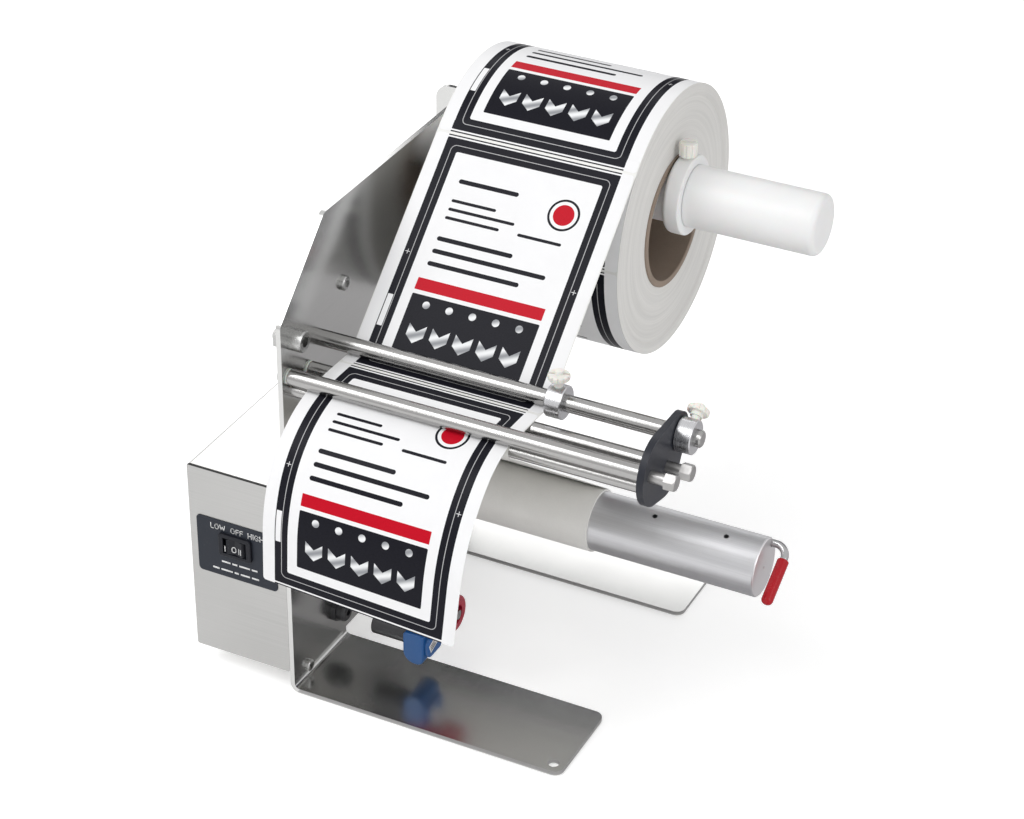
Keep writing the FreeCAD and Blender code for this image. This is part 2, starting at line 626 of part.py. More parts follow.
# Control board behind the plate
bd_x = -sheet - 10.0
board = slab_x(rect(*board_y, *board_z, 2.0), bd_x - 1.6, bd_x)
for centre in standoffs:
    board = drill(board, (bd_x - 3, *centre), (1, 0, 0), 3.2, 5)
parts["control_board"] = board
posts = []
for centre in standoffs:
    spacer = place(hex_prism(5.5, 10.0), (-sheet, *centre), (-1, 0, 0))
    posts.append(drill(spacer, (-sheet + 1, *centre), (-1, 0, 0), 3.0, 12.0))
parts["board_standoffs"] = Part.makeCompound(posts)
for centre in standoffs:
    small_screws.append(small_screw(6.2, bd_x - 1.6, centre, 1))
    small_screws.append(small_screw(7.2, 0, centre, -1))
parts["small_screws"] = Part.makeCompound(small_screws)
by, bz = board_y[0], board_z[0]
face_x = bd_x - 1.6
chips = []
for i in range(4):
    y = by + 5.0 + 8.4 * i
    block = box(face_x - 9.0, face_x, y, y + 8.41, bz + 8.0, bz + 15.0)
    chips.append(drill(block, (face_x - 9.0, y + 4.0, bz + 11.5), (1, 0, 0), 3.2, 3.0))
terminals = chips[0].fuse(chips[1:]).removeSplitter()
relay = soften(box(face_x - 15.0, face_x, by + 10.0, by + 25.0, bz + 44.0, bz + 63.0), 0.8,
               lambda e: e.BoundBox.XLength > 14)
caps = []
for dy, d, h in ((30.0, 9.0, 16.0), (37.5, 5.0, 9.0)):
    can = Part.makeCylinder(d / 2, h, V(face_x - h, by + dy - 1.0, bz + 26.0), V(1, 0, 0))
    caps.append(soften(can, 0.6, circle_at(face_x - h)))
chip = box(face_x - 3.0, face_x, by + 8.0, by + 22.0, bz + 24.0, bz + 31.0)
parts["board_components"] = Part.makeCompound([terminals, relay, chip] + caps)

# Bars: two hex headed axles with turning sleeves, a plain upper bar and the peel bar
sleeve_x0 = 1.2
washer_t = 1.0
sleeve_x1 = reach - washer_t - 0.1
head_x0 = bar_end - 5.0


def axle(at):
    body = rod_x(0, head_x0, at, axle_d)
    head = place(hex_prism(9.0, 6.5), (head_x0, *at), (1, 0, 0), 8.0)
    rounder = rod_x(head_x0, head_x0 + 6.5, at, 10.4)
    rounder = bevel(rounder, 0.9, circle_at(head_x0 + 6.5))
    body = body.fuse(head.common(rounder)).removeSplitter()
    return drill(body, (0, *at), (1, 0, 0), bar_thread, 14.0)


def sleeve(at):
    body = rod_x(sleeve_x0, sleeve_x1, at, bar_d)
    for x in (sleeve_x0, sleeve_x1):
        body = bevel(body, 0.4, circle_at(x))
    return body.cut(rod_x(0, reach, at, axle_d + 2 * run))


parts["roller_axles"] = Part.makeCompound([axle(front_bar), axle(rear_bar)])
parts["front_roller"] = sleeve(front_bar)
parts["rear_roller"] = sleeve(rear_bar)
bar = bevel(rod_x(0, bar_end, upper_bar, bar_d), 0.8, circle_at(bar_end))
parts["upper_bar"] = drill(bar, (0, *upper_bar), (1, 0, 0), bar_thread, 14.0)
peel = bevel(rod_x(0, reach - 0.4, peel_bar, peel_d), 0.5, circle_at(reach - 0.4))
parts["peel_bar"] = drill(peel, (0, *peel_bar), (1, 0, 0), bar_thread, 14.0)
washers = []
for at in (front_bar, rear_bar):
    for x in (0.1, sleeve_x1 + 0.05):
        ring = rod_x(x, x + washer_t - 0.05, at, bar_d - 0.6)
        washers.append(ring.cut(rod_x(x - 1, x + 2, at, axle_d)))
parts["roller_washers"] = Part.makeCompound(washers)
parts["bar_screws"] = Part.makeCompound(
    [place(pan_screw(bar_thread, 14.0, 9.4, 2.75, "hex"), (-sheet, *at), (1, 0, 0))
     for at in bar_places])

# Black end plate: a small lobe round the upper bar and a large one round the others
lobes = [(upper_bar, 12.5), ((18.0, front_height - 37.5), 21.0), ((31.0, front_height - 43.0), 18.5)]


def hull_outline(circles):
    """Corner points of the convex outline round several circles."""
    points = []
    for (cy, cz), r in circles:
        for k in range(120):
            a = 2 * pi * k / 120
            points.append((cy + r * cos(a), cz + r * sin(a)))
    points.sort()

    def half(seq):
        out = []
        for p in seq:
            while len(out) > 1 and ((out[-1][0] - out[-2][0]) * (p[1] - out[-2][1])
                                    - (out[-1][1] - out[-2][1]) * (p[0] - out[-2][0])) <= 0:
                out.pop()
            out.append(p)
        return out[:-1]
    return half(points) + half(points[::-1])


outline = [V(reach, y, z) for y, z in hull_outline(lobes)]
curve = Part.BSplineCurve()
curve.interpolate(outline, PeriodicFlag=True)
end_plate = Part.Face(Part.Wire(curve.toShape())).extrude(V(end_plate_t, 0, 0))
end_plate = end_plate.cut(rod_x(reach - 1, reach + 9, upper_bar, bar_d + 2 * run))
for at in (front_bar, rear_bar):
    end_plate = end_plate.cut(rod_x(reach - 1, reach + 9, at, axle_d + 2 * run))
parts["end_plate"] = end_plate


def collar(x0, width, at, d, bore, screw_angle, screw_d):
    body = rod_x(x0, x0 + width, at, d)
    for x in (x0, x0 + width):
        body = bevel(body, 0.5, circle_at(x))
    body = body.cut(rod_x(x0 - 1, x0 + width + 1, at, bore + 2 * run))
    return drill(body, (x0 + width / 2, *at), wedge_angle(screw_angle), screw_d + 2 * run, d)


def collar_screw(x, angle):
    screw = thumb_screw(bar_d / 2 + run, thumb_d, collar_d / 2 + 4.4, 13.0, 3.4, 12)
    return place(screw, (x, *upper_bar), wedge_angle(angle), 20.0)


thumb_d = 5.0
guide_x0 = web_x1 + clear
parts["guide_collar"] = collar(guide_x0, collar_w, upper_bar, collar_d, bar_d, 90.0, thumb_d)
parts["guide_screw"] = collar_screw(guide_x0 + collar_w / 2, 90.0)
end_x0 = reach + end_plate_t + 0.1
parts["end_collar"] = collar(end_x0, collar_w, upper_bar, collar_d, bar_d, 32.0, thumb_d)
parts["end_screw"] = collar_screw(end_x0 + collar_w / 2, 32.0)

# Supply spindle with its bolt and its stop collar
post = soften(rod_x(0, spindle_len, spindle, spindle_d), 4.0, circle_at(spindle_len))
post = bevel(post, 0.6, circle_at(0))
stop_x0 = web_x1 + clear
stop_w = 11.0
groove_x = stop_x0 + stop_w - 1.2
groove = rod_x(groove_x, groove_x + 1.5, spindle, spindle_d + 2)
post = post.cut(groove.cut(rod_x(groove_x - 1, groove_x + 3, spindle, spindle_d - 0.8)))
parts["supply_spindle"] = drill(post, (0, *spindle), (1, 0, 0), 8.0, 30.0)
bolt_washer = Part.makeCylinder(9.0, 1.6, V(0, 0, -1.6))
bolt = hex_prism(13.0, 6.5, -6.5).fuse([bolt_washer, Part.makeCylinder(4.0, 28.0)])
parts["spindle_bolt"] = place(bolt.removeSplitter(), (-sheet, *spindle), (1, 0, 0), 10.0)
stop_mid = stop_x0 + stop_w / 2 + 0.5
stop = rod_x(stop_x0, stop_x0 + stop_w, spindle, spindle_d + 11.0)
stop = soften(stop, 3.2, circle_at(stop_x0))
stop = soften(stop, 1.0, circle_at(stop_x0 + stop_w))
stop = stop.cut(rod_x(stop_x0 - 1, stop_x0 + stop_w + 1, spindle, spindle_d + 2 * run))
parts["spindle_collar"] = drill(stop, (stop_mid, *spindle), (0, 0, 1), 6.0 + 2 * run, spindle_d)
knurled = Part.makeCylinder(3.0, 8.5, V(0, 0, spindle_d / 2 + run))
cap = Part.makeCylinder(5.6, 8.4, V(0, 0, spindle_d / 2 + 7.0))
cap = soften(cap, 1.2, circle_at_z(spindle_d / 2 + 15.4, 11.2))
for i in range(10):
    a = 2 * pi * i / 10
    cap = cap.cut(Part.makeCylinder(0.8, 9.0, V(5.8 * cos(a), 5.8 * sin(a), spindle_d / 2 + 7.0)))
cap = cap.cut(Part.makeBox(12, 1.6, 2.0, V(-6, -0.8, spindle_d / 2 + 13.6)))
stop_screw = knurled.fuse(cap).removeSplitter()
parts["spindle_screw"] = place(stop_screw, (stop_mid, *spindle), (0, 0, 1), 25.0)

# Cardboard core and the roll of labels on it
core_out_d = core_in_d + 2 * core_wall
tube = rod_x(web_x0 - 0.5, web_x1 - 0.4, core, core_out_d)
tube = tube.cut(rod_x(web_x0 - 2, web_x1 + 2, core, core_in_d))
parts["roll_core"] = bevel(tube, 0.4, circle_at(web_x1 - 0.4))
rim = 6.5
roll = rod_x(web_x0, web_x1, core, roll_d).cut(rod_x(web_x0 - 1, web_x1 + 1, core, core_out_d))
dish = rod_x(web_x1 - 1.3, web_x1 + 1, core, roll_d - 2 * rim)
back_dish = rod_x(web_x0 - 1, web_x0 + 0.8, core, roll_d - 2 * rim)
parts["label_roll"] = roll.cut(dish).cut(back_dish)

# Web of labels from the roll to the peel point
track = Track(lines[0][0], lines[0][2] - pi / 2)
for i in range(3):
    p, q, beta = lines[i]
    track.line(hypot(q[0] - p[0], q[1] - p[1]))
    if i < 2:
        swing = (lines[i + 1][2] - beta + pi) % (2 * pi) - pi
        track.turn(bar_side, swing)
web = track.ribbon(web_x0, web_x1, -web_t / 2, web_t / 2)
ahead = box(web_x0 - 1, web_x1 + 1, nip[0] - 5.0, upper_bar[0], 0, plate_height)
drifting = skew_x(web.common(ahead), web_drift / (upper_bar[0] - nip[0]), upper_bar[0])
parts["label_web"] = web.cut(ahead).fuse(drifting).removeSplitter()

# Label that has been peeled off and hangs in front
drop_steps = 16


def hanging_side(x, arcs):
    """Points down one side of the label, on its face and on its back."""
    (y, z), heading = nip, nip_heading
    step = label_drop / drop_steps
    out = []
    for i in range(drop_steps + 1):
        here = x - web_drift - label_drift * i / drop_steps
        out.append([V(here, y - sin(heading) * off, z + cos(heading) * off) for off in (-web_t / 2, -0.02)])
        arc = 4 * i // drop_steps
        swing = step / (label_drop * arcs[arc]) if arc < len(arcs) else 0.0
        y += step * cos(heading + swing / 2)
        z += step * sin(heading + swing / 2)
        heading += swing
    return out


plate_side = hanging_side(web_x0 + label_margin, plate_side_arcs)
free_side = hanging_side(web_x1 - label_margin, free_side_arcs)


def smooth(points):
    line = Part.BSplineCurve()
    line.interpolate(points, Parameters=[i / drop_steps for i in range(drop_steps + 1)])
    return line.toShape()


rails = [smooth([pair[k] for pair in side_points]) for side_points, k in
         ((plate_side, 0), (free_side, 0), (free_side, 1), (plate_side, 1))]
skins = [Part.makeRuledSurface(rails[i], rails[(i + 1) % 4]) for i in range(4)]
for end in (0, -1):
    face_line = Part.makeLine(plate_side[end][0], free_side[end][0])
    skins.append(Part.makeRuledSurface(face_line, Part.makeLine(plate_side[end][1], free_side[end][1])))
skin = Part.makeShell(skins)
skin.sewShape()
parts["dispensed_label"] = Part.Solid(skin)

# Bare liner round the peel bar, back to the mandrel and wound on it
liner_r = mandrel_d / 2 + liner_wound
half_liner = (web_t / 2 - 0.02) / 2
p, q, beta = tangent(peel_bar, peel_d / 2 + run + half_liner, mandrel, -(liner_r + run + half_liner))
liner_step = web_t / 2 - half_liner
liner_from = (nip[0] - sin(nip_heading) * liner_step, nip[1] + cos(nip_heading) * liner_step)
liner = Track(liner_from, nip_heading)
swing = (beta - pi / 2 - nip_heading) % (2 * pi)
liner.turn(peel_d / 2 + run + half_liner, swing)
liner.line(hypot(q[0] - p[0], q[1] - p[1]))
liner_sheet = liner.ribbon(web_x0, web_x1, -half_liner, half_liner)
parts["liner_web"] = skew_x(liner_sheet, web_drift / (q[0] - nip[0]), q[0])
wound = rod_x(web_x0, web_x1, mandrel, 2 * liner_r)
parts["liner_roll"] = wound.cut(rod_x(web_x0 - 1, web_x1 + 1, mandrel, mandrel_d))

# Take-up mandrel with a groove for the wire clip
spool = rod_x(mandrel_x0, mandrel_x1, mandrel, mandrel_d)
spool = bevel(spool, 0.8, circle_at(mandrel_x1))
spool = bevel(spool, 0.8, circle_at(mandrel_x0))
groove_r = mandrel_d / 2 - clip_d / 2 - 0.35
groove_at = radians(clip_angle)
rod_centre = (mandrel[0] + groove_r * cos(groove_at), mandrel[1] + groove_r * sin(groove_at))
slot_w = clip_d + 2 * clear
slot = box(mandrel_x0 - 1, mandrel_x1 + 1, groove_r, mandrel_d, -slot_w / 2, slot_w / 2)
slot = slot.fuse(rod_x(mandrel_x0 - 1, mandrel_x1 + 1, (groove_r, 0), slot_w))
slot.rotate(V(0, 0, 0), V(1, 0, 0), clip_angle)
slot.translate(V(0, *mandrel))
spool = spool.cut(slot)
spool = drill(spool, (mandrel_x0 - 1, *mandrel), (1, 0, 0), shaft_d, bore_end - mandrel_x0 + 1)
hole_xs = [mandrel_x1 - 23.0 - 46.0 * i for i in range(3)]
for x in hole_xs:
    spool = drill(spool, (x, *mandrel), wedge_angle(105.0), 3.2, mandrel_d)
set_xs = [mandrel_x0 + 5.0, mandrel_x0 + 5.0 + 10.0 - 4.0]
for x in set_xs:
    spool = drill(spool, (x, *mandrel), wedge_angle(285.0), 4.0, mandrel_d)
spool = spool.cut(Part.makeCone(0.0, 1.3, 1.3, V(mandrel_x1 - 1.3, *mandrel), V(1, 0, 0)))
parts["takeup_mandrel"] = spool
grubs = []
for x in set_xs:
    grub = Part.makeCylinder(2.0, 6.0, V(0, 0, shaft_d / 2)).cut(hex_prism(2.0, 2.0, shaft_d / 2 + 4.2))
    grubs.append(place(grub, (x, *mandrel), wedge_angle(285.0)))
parts["mandrel_set_screws"] = Part.makeCompound(grubs)

# Wire clip that pins the liner in the groove, with a soft grip
clip_x0 = web_x0 + 2.0
clip_bend = 8.0
clip_x1 = mandrel_x1 + 2.4
grip_x = clip_x1 + clip_bend
gy, gz = cos(radians(grip_angle)), sin(radians(grip_angle))


def clip_point(x, out):
    return V(x, rod_centre[0] + gy * out, rod_centre[1] + gz * out)


knee = clip_point(clip_x1 + clip_bend * sin(pi / 4), clip_bend * (1 - cos(pi / 4)))
grip_from, grip_to = clip_bend + 1.0, clip_bend + 31.0
path = Part.Wire([Part.makeLine(clip_point(clip_x0, 0), clip_point(clip_x1, 0)),
                  Part.Arc(clip_point(clip_x1, 0), knee, clip_point(grip_x, clip_bend)).toShape(),
                  Part.makeLine(clip_point(grip_x, clip_bend), clip_point(grip_x, grip_to - 3.0))])
ring = Part.Wire(Part.makeCircle(clip_d / 2, clip_point(clip_x0, 0), V(1, 0, 0)))
wire_clip = path.makePipeShell([ring], True, False)
parts["liner_clip"] = wire_clip
along = V(0, gy, gz)
grip = Part.makeCylinder(3.6, grip_to - grip_from, clip_point(grip_x, grip_from), along)
grip = soften(grip, 1.0, lambda e: e.Curve.TypeId == "Part::GeomCircle"
              and abs((e.CenterOfMass - clip_point(grip_x, grip_from)).Length) < 0.01)
grip = soften(grip, 3.0, lambda e: e.Curve.TypeId == "Part::GeomCircle"
              and abs((e.CenterOfMass - clip_point(grip_x, grip_to)).Length) < 0.01)
grip = grip.cut(Part.makeCylinder(clip_d / 2, grip_to - 3.0 - grip_from + 1.0,
                                  clip_point(grip_x, grip_from - 1.0), along))
parts["clip_grip"] = grip

# Screws with nuts near the front of the plate
parts["plate_cap_screw"] = place(cap_screw(8.0, 12.0, 13.0, 8.0), (0, *cap_at), (-1, 0, 0))
parts["plate_button_screw"] = place(pan_screw(5.0, 10.0, 9.0, 2.8, "hex"), (0, *button_at), (-1, 0, 0))
gland_nut = place(hex_nut(12.0, 15.0, 3.5), (-sheet, *gland_at), (-1, 0, 0))
cap_nut = place(hex_nut(8.0, 13.0, 6.5), (-sheet, *cap_at), (-1, 0, 0))
button_nut = place(hex_nut(5.0, 8.0, 4.0), (-sheet, *button_at), (-1, 0, 0))
parts["lock_nuts"] = Part.makeCompound([inlet_nut, gland_nut, cap_nut, button_nut])

# Gland for the sensor lead
gland = rod_x(0, 3.0, gland_at, 15.0)
gland = gland.common(place(hex_prism(14.0, 3.0), (0, *gland_at), (1, 0, 0)))
dome = soften(rod_x(3.0, 9.0, gland_at, 12.4), 2.4, circle_at(9.0))
gland = gland.fuse([dome, rod_x(-sheet - 6.0, 0, gland_at, 12.0)]).removeSplitter()
parts["cable_gland"] = drill(gland, (9.0, *gland_at), (-1, 0, 0), 4.6, 2.5)

# Label sensor on a swinging arm
arm_x0, arm_x1 = 30.0, 54.0
thread_x0 = arm_x1 + 16.0
rod_end = thread_x0 + 16.0
sensor_rod = rod_x(0, thread_x0, rod_at, 8.0).fuse(rod_x(thread_x0, rod_end, rod_at, 6.0))
parts["sensor_rod"] = drill(sensor_rod.removeSplitter(), (0, *rod_at), (1, 0, 0), bar_thread, 14.0)
low_at = (rod_at[0] - 2.0, rod_at[1] - 22.0)
arm = rod_x(arm_x0, arm_x1, rod_at, 19.0).fuse(rod_x(arm_x0, arm_x1, low_at, 15.0))
link_corners = [(rod_at[0] - 6.0, rod_at[1], 0), (low_at[0] - 5.0, low_at[1], 0),
                (low_at[0] + 5.0, low_at[1], 0), (rod_at[0] + 6.0, rod_at[1], 0)]
link = slab_x(link_corners, arm_x0 + 2.0, arm_x1 - 2.0)
arm = arm.fuse(link).removeSplitter()
arm = arm.cut(rod_x(arm_x0 - 1, arm_x1 + 1, rod_at, 8.0 + 2 * run))
pocket_d = 9.0
arm = drill(arm, (arm_x1 + 1, *low_at), (-1, 0, 0), pocket_d, 9.0)
parts["sensor_arm"] = arm
stem = rod_x(arm_x1 - 7.0, arm_x1, low_at, pocket_d)
cap_x = arm_x1 + 14.0
half_d = 11.0
sensor_y = (low_at[0] - half_d, low_at[0] + half_d)
sensor_z = (low_at[1] - 15.0, low_at[1] + 7.0)
body_outline = [(arm_x1, sensor_z[0], 8.0), (cap_x, sensor_z[0], 5.0),
                (cap_x, sensor_z[1], 2.5), (arm_x1, sensor_z[1], 2.5)]
sensor_body = slab_y(body_outline, *sensor_y)
sensor_body = soften(sensor_body, 1.0, lambda e: abs(e.BoundBox.YMax - sensor_y[0]) < 1e-4
                     or abs(e.BoundBox.YMin - sensor_y[1]) < 1e-4)
cap_w = 3.0
end_cap = slab_x(rect(sensor_y[0] + 2.0, sensor_y[1] - 2.0, sensor_z[0] + 5.0, sensor_z[1] - 3.0, 4.0),
                 cap_x, cap_x + cap_w)
parts["sensor_end_cap"] = soften(end_cap, 1.0, lambda e: abs(e.BoundBox.XMin - cap_x - cap_w) < 1e-4)
lenses = []
for x in (arm_x1 + 3.4, cap_x - 3.4):
    lenses.append(Part.makeCylinder(2.2, 1.2, V(x, low_at[0], sensor_z[1] - 1.0)))
parts["sensor_lenses"] = Part.makeCompound(lenses)
parts["sensor_body"] = sensor_body.fuse(stem).removeSplitter().cut(parts["sensor_lenses"])
knob_x0 = thread_x0 + 0.1
knob_grip = rod_x(knob_x0 + 4.0, knob_x0 + 15.0, rod_at, 24.0)
knob = rod_x(arm_x1 + 0.1, knob_x0 + 4.0, rod_at, 14.0).fuse(knob_grip)
knob = soften(knob.removeSplitter(), 2.0, circle_at(knob_x0 + 15.0))
for i in range(16):
    a = 2 * pi * i / 16
    flute_at = (rod_at[0] + 12.6 * cos(a), rod_at[1] + 12.6 * sin(a))
    knob = knob.cut(rod_x(knob_x0 + 3, knob_x0 + 16, flute_at, 2.2))
knob = knob.cut(rod_x(knob_x0 + 11.0, knob_x0 + 16.0, rod_at, 12.0))
parts["sensor_knob"] = knob.cut(rod_x(arm_x1, knob_x0 + 12.0, rod_at, 8.4))
insert = rod_x(knob_x0 + 2.0, knob_x0 + 12.5, rod_at, 8.4)
parts["knob_insert"] = insert.cut(rod_x(knob_x0 - 1, rod_end + 0.2, rod_at, 6.0 + 2 * run))

# Move the origin between the bench screw holes and write every node
centre_x = foot_holes[0][0]
centre_y = (foot_holes[0][1] + foot_holes[1][1]) / 2
os.makedirs("parts", exist_ok=True)
for name, shape in parts.items():
    moved = shape.copy()
    moved.translate(V(-centre_x, -centre_y, 0))
    moved.exportStep("parts/" + name + ".step")
print(len(parts), "nodes, origin", centre_x, centre_y)
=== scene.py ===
import json
import math
import random

import bpy
from mathutils import Matrix, Vector


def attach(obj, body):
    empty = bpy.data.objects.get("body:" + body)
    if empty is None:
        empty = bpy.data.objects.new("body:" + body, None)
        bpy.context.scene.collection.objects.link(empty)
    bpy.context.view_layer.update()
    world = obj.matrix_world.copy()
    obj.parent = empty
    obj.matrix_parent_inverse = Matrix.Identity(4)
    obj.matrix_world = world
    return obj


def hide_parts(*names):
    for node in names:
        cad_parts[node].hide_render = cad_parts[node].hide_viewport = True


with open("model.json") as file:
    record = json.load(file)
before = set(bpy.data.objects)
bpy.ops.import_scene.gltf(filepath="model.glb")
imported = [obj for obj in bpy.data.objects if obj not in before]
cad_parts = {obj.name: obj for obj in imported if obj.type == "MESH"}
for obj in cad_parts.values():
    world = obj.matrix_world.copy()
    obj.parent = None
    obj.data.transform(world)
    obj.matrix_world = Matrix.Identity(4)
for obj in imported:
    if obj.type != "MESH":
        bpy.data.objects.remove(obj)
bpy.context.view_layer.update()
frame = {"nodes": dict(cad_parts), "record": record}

# The construction's own coordinates are millimetres from the side plate's inner face, the
# plate's front edge and the bench. The frame's origin lies at (172, 115, 0) in them.
ORIGIN = (172.0, 115.0)


def at(x, y, z):
    return Vector(((x - ORIGIN[0]) / 1000, (y - ORIGIN[1]) / 1000, z / 1000))


# Camera at the photograph's viewing angle and distance
AZIMUTH, ELEVATION, ROLL = math.radians(26.24), math.radians(31.90), math.radians(0.61)
CAMERA_PLACE = (0.5266, -1.2364, 1.0233)
FOCAL_PIXELS, PHOTO_WIDTH, SENSOR_WIDTH = 2708.2, 1024, 36.0

level = math.cos(ELEVATION)
towards = Vector((math.sin(AZIMUTH) * level, -math.cos(AZIMUTH) * level, math.sin(ELEVATION)))
across = Vector((math.cos(AZIMUTH), math.sin(AZIMUTH), 0.0))
upwards = towards.cross(across)
camera_right = across * math.cos(ROLL) + upwards * math.sin(ROLL)
camera_up = upwards * math.cos(ROLL) - across * math.sin(ROLL)
cam_data = bpy.data.cameras.new("camera")
cam_data.sensor_width = SENSOR_WIDTH
cam_data.lens = FOCAL_PIXELS / PHOTO_WIDTH * SENSOR_WIDTH
cam_data.clip_start = 0.05
cam_data.clip_end = 20.0
camera = bpy.data.objects.new("camera", cam_data)
bpy.context.scene.collection.objects.link(camera)
turn = Matrix((camera_right, camera_up, towards)).transposed().to_4x4()
camera.matrix_world = Matrix.Translation(CAMERA_PLACE) @ turn
bpy.context.scene.camera = camera


# Node materials
# Colours of painted shadow under a joint, painted shade on a bend and painted light on an end face
SEAM_SHADE, BEND_SHADE, PAINTED_END_LIGHT = (0.02, 0.02, 0.02), (0.16, 0.16, 0.16), (0.74, 0.72, 0.73)


class Shader:
    """A principled material whose inputs are worked out by nodes."""

    def __init__(self, name, **constants):
        self.mat = bpy.data.materials.new(name)
        self.mat.use_nodes = True
        self.tree = self.mat.node_tree
        self.bsdf = self.tree.nodes["Principled BSDF"]
        for socket, value in constants.items():
            self.bsdf.inputs[socket.replace("_", " ")].default_value = value
        self.object_coords = None

    def node(self, kind, inputs=(), **settings):
        new = self.tree.nodes.new(kind)
        for key, value in settings.items():
            setattr(new, key, value)
        for key, value in dict(inputs).items():
            self.put(new.inputs[key], value)
        return new

    def put(self, socket, value):
        if isinstance(value, bpy.types.NodeSocket):
            self.tree.links.new(value, socket)
        else:
            socket.default_value = value

    def set(self, socket, value):
        self.put(self.bsdf.inputs[socket], value)

    def math(self, op, a, b=0.0, c=0.0, clamp=False):
        new = self.node("ShaderNodeMath", {0: a, 1: b, 2: c}, operation=op, use_clamp=clamp)
        return new.outputs[0]

    def coords(self):
        if self.object_coords is None:
            self.object_coords = self.node("ShaderNodeTexCoord").outputs["Object"]
        return self.object_coords

    def split(self, vector):
        """The x, y and z of a vector."""
        return self.node("ShaderNodeSeparateXYZ", {0: vector}).outputs

    def uv(self):
        parts = self.split(self.node("ShaderNodeUVMap").outputs[0])
        return parts[0], parts[1]

    def noise(self, scale, detail=2.0, rough=0.5, offset=(0, 0, 0)):
        """Noise with its own number of grains to the metre along X, Y and Z."""
        place = self.node("ShaderNodeMapping", {0: self.coords(), "Location": offset, "Scale": scale})
        return self.noise_at(place.outputs[0], detail, rough)

    def noise_at(self, place, detail, rough):
        inputs = {"Vector": place, "Scale": 1.0, "Detail": detail, "Roughness": rough}
        return self.node("ShaderNodeTexNoise", inputs).outputs[0]

    def remap(self, value, a, b, low, high):
        """The value's way from a to b, as a way from low to high."""
        return self.node("ShaderNodeMapRange", {0: value, 1: a, 2: b, 3: low, 4: high}).outputs[0]

    def blend(self, first, share, second):
        """Sum of a share of the first value and the rest of the second."""
        rest = self.math("MULTIPLY", second, 1 - share)
        return self.math("ADD", self.math("MULTIPLY", first, share), rest)

    def mix(self, factor, a, b):
        """Colour a where the factor is 0, and b where it is 1."""
        new = self.node("ShaderNodeMix", data_type="RGBA")
        self.put(new.inputs[0], factor)
        for socket, value in ((new.inputs[6], a), (new.inputs[7], b)):
            self.put(socket, value if isinstance(value, bpy.types.NodeSocket) else (*value, 1.0))
        return new.outputs[2]

    def tone(self, factor, colour, spread, a=0.3, b=0.7):
        """Colour that varies by a share of spread with the factor."""
        dark = tuple(c * (1 - spread) for c in colour)
        light = tuple(min(1.0, c * (1 + spread)) for c in colour)
        return self.mix(self.remap(factor, a, b, 0.0, 1.0), dark, light)

    def bump(self, height, distance, strength, normal=None):
        new = self.node("ShaderNodeBump", {"Height": height, "Distance": distance, "Strength": strength})
        if normal is not None:
            self.put(new.inputs["Normal"], normal)
        return new.outputs[0]

    def radius(self, cy, cz):
        """Distance in millimetres from the line along X through (cy, cz)."""
        _, y, z = self.split(self.coords())
        y = self.math("MULTIPLY", self.math("SUBTRACT", y, (cy - ORIGIN[1]) / 1000), 1000.0)
        z = self.math("MULTIPLY", self.math("SUBTRACT", z, cz / 1000), 1000.0)
        squares = self.math("ADD", self.math("MULTIPLY", y, y), self.math("MULTIPLY", z, z))
        return self.math("SQRT", squares)


def brushed_sheet(name, colour, grain, rough, contrast=0.08, seam=None, bend=False, lit_end=None):
    """Brushed sheet metal, with lines along X, Y or Z where grain is 0, 1 or 2. Above the height seam it
    has painted shadow, where it lies in the shadow of a joint, and with bend painted shade along the
    edge that is bent towards -X. Past the x of the last argument its end face is painted brighter: painted
    light."""
    s = Shader(name, Metallic=1.0, Anisotropic=0.4)
    fine_scale = [2400.0] * 3
    fine_scale[grain] = 9.0
    mid_scale = [520.0] * 3
    mid_scale[grain] = 5.0
    lines = s.blend(s.noise(fine_scale, 3.0, 0.6), 0.85, s.noise(mid_scale, 2.0, 0.5, (3.1, 1.7, 5.3)))
    cloud = s.noise((11.0,) * 3, 3.0, 0.55, (7.0, 2.0, 4.0))
    specks = s.noise((900.0,) * 3, 1.0, 0.5)
    base = s.tone(lines, colour, contrast)
    base = s.mix(s.remap(cloud, 0.35, 0.75, 0.0, 0.35), base, tuple(c * 0.86 for c in colour))
    # Painted shadow of a joint: dark above the height seam.
    if seam:
        height = s.split(s.coords())[2]
        base = s.mix(s.remap(height, seam, seam + 0.0004, 0.0, 1.0), base, SEAM_SHADE)
    # Painted shade on the bend: darker where the normal leans part way towards -X.
    if bend:
        lean = s.split(s.node("ShaderNodeNewGeometry").outputs["Normal"])[0]
        off_top = s.remap(lean, -0.45, -0.2, 1.0, 0.0)
        off_side = s.remap(lean, -0.85, -0.75, 0.0, 1.0)
        base = s.mix(s.math("MULTIPLY", off_top, off_side), base, BEND_SHADE)
    # Painted light: the end face beyond this x gets a brighter colour than the rest of the sheet.
    if lit_end:
        along = s.split(s.coords())[0]
        base = s.mix(s.remap(along, lit_end, lit_end + 0.0002, 0.0, 1.0), base, PAINTED_END_LIGHT)
    s.set("Base Color", base)
    shine = s.math("ADD", s.remap(lines, 0.3, 0.7, rough - 0.015, rough + 0.02),
                   s.remap(cloud, 0.3, 0.7, -0.01, 0.03))
    s.set("Roughness", s.math("ADD", shine, s.remap(specks, 0.62, 0.8, 0.0, 0.03)))
    s.set("Normal", s.bump(lines, 0.0000018, 0.5))
    return s.mat


